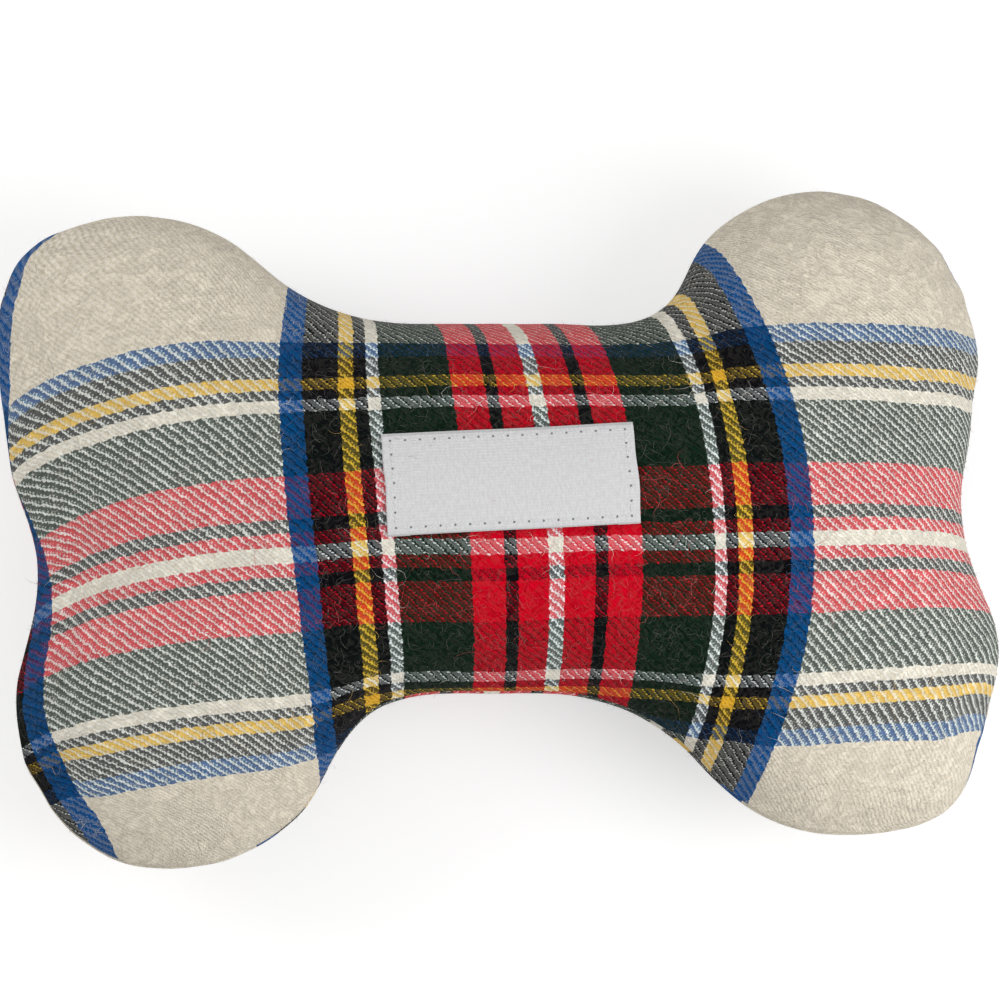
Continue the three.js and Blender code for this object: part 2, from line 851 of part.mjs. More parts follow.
add_piece('reed_clamp', reed_clamp(), finish(0xc9ced4, 0.4));
add_piece('reed_blade', reed_blade(), finish(0xf0c9a0, 0.3));

export default toy;
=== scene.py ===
# %% [markdown]
# A squeaky dog toy: a bone of brushed tartan flannel, stuffed with fibre round a reed squeaker, with a
# woven label sewn on its front.
#
# The working model is already packed. It gives the bone's outline and thickness and every inner piece, and
# it carries the joints. This script dresses it: each cell makes one piece or one finish, in metres, where
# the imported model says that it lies.

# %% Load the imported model
import math

import bmesh
import bpy
import numpy as np
from mathutils import Matrix, Vector, noise
from mathutils.bvhtree import BVHTree


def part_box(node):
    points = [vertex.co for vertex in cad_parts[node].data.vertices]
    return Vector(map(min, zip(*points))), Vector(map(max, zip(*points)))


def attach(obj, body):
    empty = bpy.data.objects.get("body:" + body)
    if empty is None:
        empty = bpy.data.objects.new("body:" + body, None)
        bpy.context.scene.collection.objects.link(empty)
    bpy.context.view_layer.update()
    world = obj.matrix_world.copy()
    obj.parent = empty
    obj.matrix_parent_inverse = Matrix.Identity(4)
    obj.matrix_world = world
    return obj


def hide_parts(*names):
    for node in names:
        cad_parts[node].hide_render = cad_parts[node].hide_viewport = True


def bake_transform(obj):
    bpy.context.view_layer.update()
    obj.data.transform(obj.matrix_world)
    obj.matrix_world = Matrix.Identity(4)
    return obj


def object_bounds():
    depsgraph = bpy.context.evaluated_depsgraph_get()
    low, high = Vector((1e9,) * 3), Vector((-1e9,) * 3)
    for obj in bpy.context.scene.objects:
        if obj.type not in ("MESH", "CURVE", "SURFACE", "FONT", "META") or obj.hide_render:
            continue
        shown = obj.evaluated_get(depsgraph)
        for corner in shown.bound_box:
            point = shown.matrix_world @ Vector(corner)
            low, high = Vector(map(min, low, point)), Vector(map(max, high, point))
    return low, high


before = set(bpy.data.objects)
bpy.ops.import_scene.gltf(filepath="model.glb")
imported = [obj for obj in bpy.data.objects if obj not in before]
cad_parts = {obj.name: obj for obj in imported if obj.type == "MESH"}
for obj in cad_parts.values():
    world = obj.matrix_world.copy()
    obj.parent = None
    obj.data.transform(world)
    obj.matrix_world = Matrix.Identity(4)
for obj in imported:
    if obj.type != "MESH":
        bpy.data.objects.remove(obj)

bpy.context.view_layer.update()
cad_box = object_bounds()
MM = 0.001
cad_size = (cad_box[1] - cad_box[0]) / MM
print("the bone measures", [round(side, 1) for side in cad_size], "mm")

# %% The seam's plane and the crown
front_low, front_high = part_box("front_panel")
back_low, back_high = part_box("back_panel")
seam_z = (front_low.z + back_high.z) / 2
crown_z = front_high.z
print("seam at", round(seam_z / MM, 2), "mm, crown at", round(crown_z / MM, 2), "mm")

# %% [markdown]
# ## The camera
#
# A picture of a small soft thing is taken from nearly overhead, a little from the near side, so that the
# rounded rim shows. A long lens keeps both ends of the bone at one scale. The camera's direction is worked
# out from two angles, as a tripod's is, and a small roll levels the bone in the picture.

# %% Place the camera
TILT = math.radians(13.7)
SIDEWAYS = math.radians(4.7)
ROLL = math.radians(-1.12)
CAMERA_DISTANCE = 900 * MM
SENSOR_MM = 36
FRAME_WIDTH = 204.8 * MM
AIM = Vector((1 * MM, 5 * MM, seam_z))


def aim_camera():
    """Make the camera, looking down at the bone with the picture's lower edge towards -Y."""
    data = bpy.data.cameras.new("camera")
    camera = bpy.data.objects.new("camera", data)
    bpy.context.scene.collection.objects.link(camera)
    back = Vector((-math.tan(SIDEWAYS), -math.tan(TILT), 1)).normalized()
    right = Vector((0, 1, 0)).cross(back).normalized()
    up = back.cross(right)
    turned = Matrix((right, up, back)).transposed() @ Matrix.Rotation(ROLL, 3, "Z")
    camera.matrix_world = Matrix.Translation(AIM + back * CAMERA_DISTANCE) @ turned.to_4x4()
    data.sensor_width = SENSOR_MM
    data.lens = SENSOR_MM * CAMERA_DISTANCE / FRAME_WIDTH
    data.clip_start = 10 * MM
    data.clip_end = 10
    bpy.context.scene.camera = camera
    return camera


camera = aim_camera()
print("lens", round(camera.data.lens), "mm")

# %% [markdown]
# ## The stuffed bone
#
# The real bone is two flat panels of flannel, sewn together with their right sides in, turned out through
# an opening and stuffed until they are tight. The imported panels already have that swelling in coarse
# facets. So the outer faces of both are copied, joined where they meet at the seam, and turned from
# triangles into a quilt of four-sided faces, which subdivides smoothly.

# %% Copy the outer faces of a packed panel
RIM_LIFT = 1.3 * MM


def outer_faces(node, up):
    """A bmesh of a panel's outside: up is 1 for the front and -1 for the back."""
    skin = bmesh.new()
    skin.from_mesh(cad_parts[node].data)
    bmesh.ops.remove_doubles(skin, verts=skin.verts, dist=0.01 * MM)
    inner = [
        face
        for face in skin.faces
        if up * face.normal.z < 0.001 or max(up * (v.co.z - seam_z) for v in face.verts) < RIM_LIFT
    ]
    bmesh.ops.delete(skin, geom=inner, context="FACES")
    bmesh.ops.join_triangles(
        skin, faces=skin.faces, angle_face_threshold=math.pi, angle_shape_threshold=math.pi
    )
    for vert in skin.verts:
        if vert.is_boundary:
            vert.co.z = seam_z
    return skin


def as_object(skin, name):
    """Turn a bmesh into an object of that name."""
    mesh = bpy.data.meshes.new(name)
    skin.to_mesh(mesh)
    skin.free()
    made = bpy.data.objects.new(name, mesh)
    bpy.context.scene.collection.objects.link(made)
    return made


front_skin = outer_faces("front_panel", 1)
back_skin = outer_faces("back_panel", -1)
print("front", len(front_skin.faces), "faces, back", len(back_skin.faces), "faces")

# %% [markdown]
# ## The cut of the cloth
#
# A stripe runs straight on the flat cloth and bends only because the stuffing bends the cloth. So each
# panel is laid flat again before anything else: its edges are let out, round after round, until each has
# the length that it has on the bone. The flat places become a UV map in metres, which every yarn of the
# tartan is counted on.

# %% Lay a panel flat
FLATTENING_ROUNDS = 600
EVENING = 0.25


def lay_flat(skin):
    """The flat place of each vertex, in metres, found by relaxing the edges to their real lengths."""
    skin.verts.ensure_lookup_table()
    points = np.array([v.co for v in skin.verts])
    edges = np.array([[v.index for v in edge.verts] for edge in skin.edges])
    length = np.linalg.norm(points[edges[:, 0]] - points[edges[:, 1]], axis=1)
    joined = np.bincount(edges.ravel(), minlength=len(points))[:, None]
    start = points[:, :2]
    moved = np.zeros_like(start)
    for _ in range(FLATTENING_ROUNDS):
        flat = start + moved
        step = flat[edges[:, 1]] - flat[edges[:, 0]]
        now = np.linalg.norm(step, axis=1)
        push = step * ((now - length) / now / 2)[:, None]
        even = (moved[edges[:, 1]] - moved[edges[:, 0]]) * EVENING
        total = np.zeros_like(flat)
        np.add.at(total, edges[:, 0], push + even)
        np.add.at(total, edges[:, 1], -push - even)
        moved += total / joined
    return start + moved - (start + moved).mean(axis=0)


front_flat = lay_flat(front_skin)
back_flat = lay_flat(back_skin)
print("cut, before the seam allowance:", (np.ptp(front_flat, axis=0) / MM).round(), "mm")

# %% [markdown]
# ## The run of the grain
#
# Nobody cuts a toy's panel dead straight, and the stuffing drags the cloth. On this bone the pattern's
# middle lies a little to the right of the bone's middle, its warp leans, and its stripes bow where the
# lobes pull them. A few terms, each a plain lean, stretch or bow, say this for each panel.

# %% Lean, stretch and bow of the pattern
REACH = 100 * MM


def grain_terms(flat):
    """The places of a panel as shares of the bone's half length, and what they bend by."""
    x, y = (flat / REACH).T
    return np.stack([np.ones_like(x), x, y, x * x, x * y, y * y, x**3, x * x * y, x * y * y, y**3])


FRONT_WARP_BENDS = np.array([-8, 1.5, 9, 2.5, 1, 8, -7, -4, 58, -9])
FRONT_WEFT_BENDS = np.array([11, -1.5, -3.5, 2.5, 2.5, -11, -5.5, 2.5, -2, 1.5])
BACK_WARP_BENDS = np.array([5, 0, 4, 0, 0, 0, 0, 0, 20, 0])
BACK_WEFT_BENDS = np.array([-4, 2, 0, 0, 0, 6, 0, 0, 0, 0])


# Near the corners the cloth is dragged by itself: a place, how far the stripes move there, and a reach, all
# in millimetres
FRONT_DRAGS = [
    ((-98, 50), (7.5, 0), 26),
    ((-95, -15), (-6.5, 0), 20),
    ((-95, -50), (4, 0), 20),
    ((-80, -68), (-3, 0), 12),
    ((92, 52), (-8, 0), 24),
]


def on_grain(flat, warp_bends, weft_bends, drags=()):
    """The flat places, moved on the cloth by the bends and the drags, which are in millimetres."""
    terms = grain_terms(flat)
    moved = np.stack([warp_bends @ terms, weft_bends @ terms], axis=1)
    for place, drag, reach in drags:
        far = np.linalg.norm(flat - np.array(place) * MM, axis=1)
        moved += np.exp(-((far / (reach * MM)) ** 2))[:, None] * np.array(drag)
    return flat + moved * MM


def set_cloth_map(skin, flat):
    """Store the places on the cloth as the UV map named cloth."""
    cloth = skin.loops.layers.uv.new("cloth")
    for face in skin.faces:
        for loop in face.loops:
            loop[cloth].uv = flat[loop.vert.index]


set_cloth_map(front_skin, on_grain(front_flat, FRONT_WARP_BENDS, FRONT_WEFT_BENDS, FRONT_DRAGS))
set_cloth_map(back_skin, on_grain(back_flat, BACK_WARP_BENDS, BACK_WEFT_BENDS))

# %% Join both skins along the seam
for face in back_skin.faces:
    face.material_index = 1
bag = as_object(back_skin, "bag")
whole = bmesh.new()
front_object = as_object(front_skin, "front_skin")
whole.from_mesh(front_object.data)
whole.from_mesh(bag.data)
bpy.data.objects.remove(front_object)
bmesh.ops.remove_doubles(whole, verts=whole.verts, dist=0.05 * MM)
print("closed:", all(edge.is_manifold for edge in whole.edges))
whole.to_mesh(bag.data)
whole.free()

# %% Helpers for meshes and modifiers
def coordinates(mesh):
    """All of a mesh's points as an array."""
    flat = np.empty(len(mesh.vertices) * 3)
    mesh.vertices.foreach_get("co", flat)
    return flat.reshape(-1, 3)


def set_coordinates(mesh, points):
    """Move all of a mesh's points."""
    mesh.vertices.foreach_set("co", points.ravel())
    mesh.update()


def evaluated_mesh(made):
    """What an object's mesh looks like after its modifiers."""
    graph = bpy.context.evaluated_depsgraph_get()
    graph.update()
    return bpy.data.meshes.new_from_object(
        made.evaluated_get(graph), preserve_all_data_layers=True, depsgraph=graph
    )


def apply_modifiers(made):
    """Replace an object's mesh by what its modifiers make of it, and drop them."""
    mesh = evaluated_mesh(made)
    made.modifiers.clear()
    made.data = mesh


def smooth_levels(made, levels):
    """Add a Subdivision Surface that shows as many levels as it renders."""
    modifier = made.modifiers.new("smooth", "SUBSURF")
    modifier.levels = levels
    modifier.render_levels = levels
    return modifier


# %% [markdown]
# A subdivision surface runs inside its coarse cage, so the bone would come out two millimetres too narrow.
# The cage is therefore pushed out first, until the smooth surface passes where its points were.

# %% Push the cage out
FITTING_ROUNDS = 5
CLOTH_LEVELS = 2


def fit_cage(bag):
    """Push the coarse points out until the smooth surface passes where they were."""
    wanted = coordinates(bag.data)
    for _ in range(FITTING_ROUNDS):
        smooth_levels(bag, CLOTH_LEVELS)
        landed = coordinates(evaluated_mesh(bag))[: len(wanted)]
        bag.modifiers.clear()
        missed = wanted - landed
        set_coordinates(bag.data, coordinates(bag.data) + missed)
    print("the surface misses the packed points by", round(np.abs(missed).max() / MM, 2), "mm")


fit_cage(bag)
smooth_levels(bag, CLOTH_LEVELS)
apply_modifiers(bag)
print("bag:", len(bag.data.polygons), "faces")

# %% [markdown]
# ## Filling it out
#
# The bag is stuffed by simulation. It is drawn in a little, its seam is held, and the Cloth modifier blows
# it up for twenty frames, as fibre pushed in by hand would. The cloth near the seam is a trace longer than
# the seam itself, so it gathers very slightly there. The quilt is already even, so it needs no remesh, and
# the UV map lives on. No point may move further than a few millimetres, which keeps the bone at its size.

# %% Stuff the bag
PRESSURE = 400
POINT_MASS = 0.002
STUFFING_FRAMES = 20
DRAWN_IN = 1.2 * MM
FURTHEST_MOVE = 2.5 * MM
GATHER_REACH = 14 * MM
GATHER_GROWTH = 0.03


def stuff(bag):
    """Blow the bag up with its seam held, and keep each point near where it started."""
    start = coordinates(bag.data)
    normals = np.array([v.normal for v in bag.data.vertices])
    off_seam = np.abs(start[:, 2] - seam_z)
    eased = np.clip(off_seam / GATHER_REACH, 0, 1)[:, None]
    set_coordinates(bag.data, start - normals * DRAWN_IN * eased)
    seam = bag.vertex_groups.new(name="seam")
    seam.add([int(i) for i in np.flatnonzero(off_seam < 0.05 * MM)], 1, "REPLACE")
    gathers = bag.vertex_groups.new(name="gathers")
    for index, lift in enumerate(off_seam):
        gathers.add([index], max(0, 1 - lift / GATHER_REACH), "REPLACE")
    cloth = bag.modifiers.new("stuffing", "CLOTH")
    cloth.settings.mass = POINT_MASS
    cloth.settings.vertex_group_mass = "seam"
    cloth.settings.vertex_group_shrink = "gathers"
    cloth.settings.shrink_min = 0
    cloth.settings.shrink_max = -GATHER_GROWTH
    cloth.settings.use_pressure = True
    cloth.settings.uniform_pressure_force = PRESSURE
    cloth.settings.effector_weights.gravity = 0
    cloth.point_cache.frame_end = STUFFING_FRAMES
    for frame_number in range(1, STUFFING_FRAMES + 1):
        bpy.context.scene.frame_set(frame_number)
    swollen = coordinates(evaluated_mesh(bag))
    bag.modifiers.clear()
    bpy.context.scene.frame_set(1)
    move = swollen - start
    distance = np.linalg.norm(move, axis=1)
    print("moved by up to", round(float(distance.max()) / MM, 1), "mm")
    move *= np.minimum(1, FURTHEST_MOVE / np.maximum(distance, 0.001 * MM))[:, None]
    set_coordinates(bag.data, start + move)


stuff(bag)

# %% [markdown]
# ## Lumps
#
# Fibre never packs evenly. A slow noise along the normals gives the cloth the shallow rises and hollows
# that a hand feels through it. They fade out at the seam, which the stitches hold level.

# %% Press lumps into the bag
LUMP_SIZE = 24 * MM
LUMP_HEIGHT = 0.9 * MM


def press_lumps(bag):
    """Move every point a little along its normal by a slow noise."""
    points = coordinates(bag.data)
    normals = np.array([v.normal for v in bag.data.vertices])
    eased = np.clip(np.abs(points[:, 2] - seam_z) / GATHER_REACH, 0, 1)
    lumps = np.array([noise.noise(Vector(point) / LUMP_SIZE) for point in points])
    set_coordinates(bag.data, points + normals * (lumps * eased * LUMP_HEIGHT)[:, None])


press_lumps(bag)

# %% [markdown]
# The stuffing also pushes each corner of the bone out a little differently. These are the tugs that show:
# the upper left lobe is squarish, the left side is fuller above its dip, and the lower right lobe hangs low
# at its corner. Each tug has a place, a push and a reach, in millimetres, and fades like a bell curve.

# %% Tug the corners
TUGS = [
    ((-94, 55), (-1.5, 1.2), 12),
    ((-102, 33), (1.2, 0), 12),
    ((-98, 9), (-3.4, -0.4), 12),
    ((-50, 54), (0.8, 0.8), 14),
    ((-77, -67), (-0.7, -1.0), 14),
    ((66, 70), (0, 1.1), 24),
    ((97, 47), (-1.0, -0.3), 10),
    ((97, 17), (1.4, 0), 9),
    ((102, -42), (-1.8, 0.2), 11),
    ((89, -58), (1.4, -2.2), 12),
    ((100, -20), (1.0, 0), 9),
]


def tug_corners(bag):
    """Push the bag out or in at each tug's place, right through its thickness."""
    points = coordinates(bag.data)
    moved = points.copy()
    for place, push, reach in TUGS:
        far = np.linalg.norm(points[:, :2] - np.array(place) * MM, axis=1)
        share = np.exp(-((far / (reach * MM)) ** 2))
        moved[:, :2] += share[:, None] * np.array(push) * MM
    set_coordinates(bag.data, moved)


tug_corners(bag)

# %% Rest it on the floor
FLOOR_PRESS = 1.2 * MM


def rest_on_floor(bag):
    """Flatten what would sink into the floor, and round the edge of that flat."""
    points = coordinates(bag.data)
    points[:, 2] = np.logaddexp(0, points[:, 2] / FLOOR_PRESS) * FLOOR_PRESS
    set_coordinates(bag.data, points)


rest_on_floor(bag)

# %% [markdown]
# ## The seam
#
# The panels are sewn right sides together and turned out, so at the seam each edge rolls inwards and the
# two meet in a crease, with the thread at its bottom. The bag is parted at the seam again, and each
# panel's open edge is extruded round a quarter circle and on inwards as the turned-in allowance. Gathers
# pucker that roll a little, stitch by stitch.

# %% Part the bag again
def part_of_bag(index):
    """A bmesh of one panel of the bag, by its material index."""
    skin = bmesh.new()
    skin.from_mesh(bag.data)
    others = [face for face in skin.faces if face.material_index != index]
    bmesh.ops.delete(skin, geom=others, context="FACES")
    for face in skin.faces:
        face.material_index = 0
        face.smooth = True
    return skin


# %% Roll the edge in
ROLL_RADIUS = 1.5 * MM
ROLL_STEPS = 4
CREASE_GAP = 0.12 * MM
ALLOWANCE_SHOWN = 4 * MM
PUCKER_LENGTH = 5.5 * MM
PUCKER_DEPTH = 0.22 * MM


def rim_frame(skin):
    """The open edge's points, each with its outward direction in the seam's plane."""
    outward = {}
    for vert in (v for v in skin.verts if v.is_boundary):
        ends = [edge.other_vert(vert).co for edge in vert.link_edges if edge.is_boundary]
        across = (ends[1] - ends[0]).cross(Vector((0, 0, 1))).normalized()
        bulge = vert.normal.dot(across)
        outward[vert] = across if bulge > 0 else -across
    return outward


def cloth_places(skin):
    """Each point's place on the cloth, from the UV map."""
    cloth = skin.loops.layers.uv["cloth"]
    return {vert: vert.link_loops[0][cloth].uv.copy() for vert in skin.verts}


def extrude_ring(skin, ring):
    """Extrude an open ring of points and return the new points, keyed by the old ones."""
    edges = [edge for vert in ring for edge in vert.link_edges if edge.is_boundary]
    made = bmesh.ops.extrude_edge_only(skin, edges=list(dict.fromkeys(edges)))
    fresh = [item for item in made["geom"] if isinstance(item, bmesh.types.BMVert)]
    return {next(e.other_vert(v) for e in v.link_edges if e.other_vert(v) in ring): v for v in fresh}


def roll_edge(skin, up):
    """Turn a panel's edge in round a quarter circle, and on inwards as the seam allowance."""
    outward = rim_frame(skin)
    places = cloth_places(skin)
    shift = {}
    for vert in outward:
        inner = next(edge.other_vert(vert) for edge in vert.link_edges if not edge.is_boundary)
        shift[vert] = (places[vert] - places[inner]).normalized()
    root = {vert: vert for vert in outward}
    start = {}
    for vert in outward:
        pucker = noise.noise(vert.co / PUCKER_LENGTH) * PUCKER_DEPTH
        start[vert] = vert.co + outward[vert] * pucker
        vert.co = start[vert] + Vector((0, 0, up * ROLL_RADIUS))
    rings = [(turn * math.pi / 2 / ROLL_STEPS, 0) for turn in range(1, ROLL_STEPS + 1)]
    rings.append((math.pi / 2, ALLOWANCE_SHOWN))
    for angle, further in rings:
        made = extrude_ring(skin, root)
        inset = ROLL_RADIUS * (1 - math.cos(angle)) + further
        lift = ROLL_RADIUS * (1 - math.sin(angle)) + CREASE_GAP
        for old, vert in made.items():
            first = root[old]
            vert.co = start[first] - outward[first] * inset + Vector((0, 0, up * lift))
            places[vert] = places[first] + shift[first] * (ROLL_RADIUS * angle + further)
        root = {vert: root[old] for old, vert in made.items()}
    cloth = skin.loops.layers.uv["cloth"]
    for face in skin.faces:
        face.smooth = True
        for loop in face.loops:
            loop[cloth].uv = places[loop.vert]
    # Extruding leaves the new faces in no fixed order, so they are put in one
    skin.faces.sort(key=lambda face: face.calc_center_median().dot(Vector((1, 0.377, 0.113))))
    bmesh.ops.recalc_face_normals(skin, faces=skin.faces)
    if sum(face.normal.z for face in skin.faces) * up < 0:
        bmesh.ops.reverse_faces(skin, faces=skin.faces)


# %% Make both panels
def make_panel(index, name, up):
    """One panel of flannel, with its edge rolled in and one more smooth level."""
    skin = part_of_bag(index)
    roll_edge(skin, up)
    panel = as_object(skin, name)
    smooth_levels(panel, 1)
    apply_modifiers(panel)
    return panel


def surface_of(panel):
    """A tree of a panel's faces, to find the cloth under a point."""
    mesh = panel.data
    return BVHTree.FromPolygons([v.co for v in mesh.vertices], [f.vertices for f in mesh.polygons])


front_cloth = make_panel(0, "front_cloth", 1)
back_cloth = make_panel(1, "back_cloth", -1)
bpy.data.objects.remove(bag)
front_surface = surface_of(front_cloth)
back_surface = surface_of(back_cloth)
print("front cloth:", len(front_cloth.data.polygons), "faces before its wall")

# %% [markdown]
# ## The nap
#
# Brushed flannel is covered with the loose ends of its own fibres. Most of that is too fine for anything
# but the material, but the longest fibres stand off the cloth, catch the light over the dark squares and
# soften the outline. They are real here: thousands of narrow ribbons, all grown at once. One point is put
# down for each, every point is extruded a few times into a curling line, and the lines are extruded
# sideways. Each ribbon remembers where it is rooted, so it takes the colour of the yarn that it came from.

# %% Spread the fibres' roots over a panel
FIBRES = 7000


def scatter(panel, count, random):
    """Points spread evenly over a panel: where they are, and their places on the cloth."""
    mesh = panel.data
    mesh.calc_loop_triangles()
    corners = np.empty(len(mesh.loop_triangles) * 3, dtype=int)
    loops = corners.copy()
    mesh.loop_triangles.foreach_get("vertices", corners)
    mesh.loop_triangles.foreach_get("loops", loops)
    points = coordinates(mesh)[corners.reshape(-1, 3)]
    cloth = np.empty(len(mesh.loops) * 2)
    mesh.uv_layers["cloth"].uv.foreach_get("vector", cloth)
    cloth = cloth.reshape(-1, 2)[loops.reshape(-1, 3)]
    area = np.linalg.norm(np.cross(points[:, 1] - points[:, 0], points[:, 2] - points[:, 0]), axis=1)
    chosen = random.choice(len(area), count, p=area / area.sum())
    share = np.sort(random.random((count, 2)), axis=1)
    weights = np.stack([share[:, 0], share[:, 1] - share[:, 0], 1 - share[:, 1]], axis=1)[:, :, None]
    return (points[chosen] * weights).sum(axis=1), (cloth[chosen] * weights).sum(axis=1)


# %% Grow the fibres
FIBRE_STEPS = 5
FIBRE_LENGTH = 2.6 * MM
FIBRE_LIFT = 0.3 * MM
FIBRE_WIDTH = 0.06 * MM
FIBRE_CURL = 0.7


def nearest(surface, points):
    """The closest places on a surface and its normals there."""
    found = [surface.find_nearest(Vector(point)) for point in points]
    return np.array([hit[0] for hit in found]), np.array([hit[1] for hit in found])


def grow_fibres(panel, surface, name, seed):
    """A piece of thin curling ribbons rooted on a panel."""
    random = np.random.default_rng(seed)
    roots, cloth = scatter(panel, FIBRES, random)
    at, normals = nearest(surface, roots)
    skin = bmesh.new()
    rooted_at = skin.verts.layers.float_vector.new("rooted_at")
    tips = [skin.verts.new(root) for root in roots]
    for tip, place in zip(tips, cloth):
        tip[rooted_at] = (place[0], place[1], 0)
    side = np.cross(normals, random.normal(size=(FIBRES, 3)))
    heading = side / np.linalg.norm(side, axis=1, keepdims=True)
    turn = random.normal(scale=FIBRE_CURL, size=FIBRES)
    stride = FIBRE_LENGTH * random.lognormal(0, 0.45, FIBRES) / FIBRE_STEPS
    rise = FIBRE_LIFT * random.lognormal(0, 0.6, FIBRES)
    widths = {tip: Vector(wide) for tip, wide in zip(tips, np.cross(heading, normals) * FIBRE_WIDTH)}
    for step in range(1, FIBRE_STEPS + 1):
        angle = (turn + random.normal(scale=0.35, size=FIBRES))[:, None]
        heading = heading * np.cos(angle) + np.cross(normals, heading) * np.sin(angle)
        at, normals = nearest(surface, at + heading * stride[:, None])
        share = step / FIBRE_STEPS
        lifted = at + normals * (rise * math.sin(math.pi * share * 0.8))[:, None]
        lifted[:, 2] = np.maximum(lifted[:, 2], FIBRE_WIDTH)
        across = np.cross(heading, normals) * FIBRE_WIDTH * (1.15 - share)
        tips = bmesh.ops.extrude_vert_indiv(skin, verts=tips)["verts"]
        for tip, place, wide in zip(tips, lifted, across):
            tip.co = place
            widths[tip] = Vector(wide)
    made = bmesh.ops.extrude_edge_only(skin, edges=skin.edges)["geom"]
    for vert in (item for item in made if isinstance(item, bmesh.types.BMVert)):
        twin = next(e.other_vert(vert) for e in vert.link_edges if e.other_vert(vert) in widths)
        vert.co += widths[twin]
    return as_object(skin, name)


front_nap = grow_fibres(front_cloth, front_surface, "front_nap", 11)
back_nap = grow_fibres(back_cloth, back_surface, "back_nap", 12)
print("nap:", len(front_nap.data.polygons), "faces on the front")

# %% Give the panels their wall
CLOTH_THICKNESS = 0.6 * MM


def thicken(panel, thickness):
    """Give a sheet its wall, on the inside."""
    wall = panel.modifiers.new("wall", "SOLIDIFY")
    wall.thickness = thickness
    wall.offset = -1
    apply_modifiers(panel)


thicken(front_cloth, CLOTH_THICKNESS)
thicken(back_cloth, CLOTH_THICKNESS)
print("front cloth:", len(front_cloth.data.polygons), "faces")

# %% [markdown]
# ## The woven label
#
# The label is a length of white damask ribbon. Its long sides are selvedges, and its cut ends are folded
# under so that they can't fray. The strip starts as a flat grid, is bent round at both ends by a short
# formula, and is then laid on the cloth: each point keeps its height over the cloth that lies under it.

# %% Where the label lies
LABEL_LENGTH = 50 * MM
LABEL_WIDTH = 20.8 * MM
LABEL_FOLD = 5 * MM
LABEL_TILT = math.radians(3)
RIBBON_THICKNESS = 0.28 * MM
RIBBON_LIFT = 0.95 * MM
FOLD_RADIUS = 0.24 * MM
label_low, label_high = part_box("label")
LABEL_SHIFT = Vector((-0.5, -0.7, 0)) * MM
label_middle = (label_low + label_high) / 2 + LABEL_SHIFT
label_turn = Matrix.Rotation(LABEL_TILT, 2)
print("label at", [round(c / MM, 2) for c in label_middle])


def cloth_height(x, y):
    """How high the front's cloth stands at a place."""
    return front_surface.ray_cast(Vector((x, y, 2 * crown_z)), Vector((0, 0, -1)))[0].z


def on_label(along, across, lift):
    """A place over the cloth, from the label's own length and width."""
    turned = label_turn @ Vector((along, across)) + label_middle.xy
    return Vector((turned.x, turned.y, cloth_height(turned.x, turned.y) + lift))


# %% Weave the strip and fold its ends under
LABEL_CUT = LABEL_LENGTH + 2 * LABEL_FOLD
EDGE_WAVE = 0.35 * MM
EDGE_WAVE_LENGTH = 7 * MM


def fold_under(along):
    """Where a place of the flat strip ends up: how far along, and how far under the top."""
    past = abs(along) - LABEL_LENGTH / 2
    if past <= 0:
        return along, 0
    angle = min(past / FOLD_RADIUS, math.pi)
    back = max(past - math.pi * FOLD_RADIUS, 0)
    reach = LABEL_LENGTH / 2 + FOLD_RADIUS * math.sin(angle) - back
    return math.copysign(reach, along), FOLD_RADIUS * (1 - math.cos(angle))


def make_label():
    """The folded ribbon, laid on the cloth."""
    skin = bmesh.new()
    steps_along = round(LABEL_CUT / MM) * 4
    steps_across = round(LABEL_WIDTH / MM)
    bmesh.ops.create_grid(skin, x_segments=steps_along, y_segments=steps_across, size=0.5)
    bmesh.ops.scale(skin, vec=(LABEL_CUT, LABEL_WIDTH, 1), verts=skin.verts)
    ribbon = skin.loops.layers.uv.new("ribbon")
    for face in skin.faces:
        face.smooth = True
        for loop in face.loops:
            loop[ribbon].uv = loop.vert.co.xy
    for vert in skin.verts:
        along, across = vert.co.xy
        folded, under = fold_under(along)
        end_share = max(0, abs(folded) / (LABEL_LENGTH / 2) - 0.8) / 0.2
        wave = noise.noise(Vector((folded, across, 0)) / EDGE_WAVE_LENGTH) * EDGE_WAVE
        vert.co = on_label(folded + wave * end_share, across, RIBBON_LIFT - under + wave * end_share / 2)
    return as_object(skin, "woven_label")


woven_label = make_label()
thicken(woven_label, RIBBON_THICKNESS)
print("label:", len(woven_label.data.polygons), "faces")

# %% [markdown]
# ## Stitches
#
# A row of lockstitches shows as short lengths of thread that dive into the cloth at both ends. Each stitch
# is a small circle extruded along an arch, so a row is a loop over one function. The label's row runs
# round all four sides; the opening that the bone was stuffed through is closed by hand, with slanting
# stitches over the crease at its right end.

# %% One stitch
THREAD_SIDES = 6
STITCH_STEPS = 6


def sew(skin, start, end, bow, radius):
    """Add one stitch to a bmesh: a round thread from start to end, arched by bow in the middle."""
    run = end - start
    turned = run.to_track_quat("Z", "Y").to_matrix().to_4x4()
    matrix = Matrix.Translation(start) @ turned
    made = bmesh.ops.create_circle(
        skin, cap_ends=True, radius=radius, segments=THREAD_SIDES, matrix=matrix
    )
    ring = made["verts"]
    faces = [face for face in ring[0].link_faces if len(face.verts) == THREAD_SIDES]
    for step in range(1, STITCH_STEPS + 1):
        before = math.sin(math.pi * (step - 1) / STITCH_STEPS)
        after = math.sin(math.pi * step / STITCH_STEPS)
        made = bmesh.ops.extrude_face_region(skin, geom=faces)["geom"]
        bmesh.ops.delete(skin, geom=faces if step > 1 else [], context="FACES_ONLY")
        faces = [item for item in made if isinstance(item, bmesh.types.BMFace)]
        ring = [item for item in made if isinstance(item, bmesh.types.BMVert)]
        move = run / STITCH_STEPS + bow * (after - before)
        bmesh.ops.translate(skin, vec=move, verts=ring)


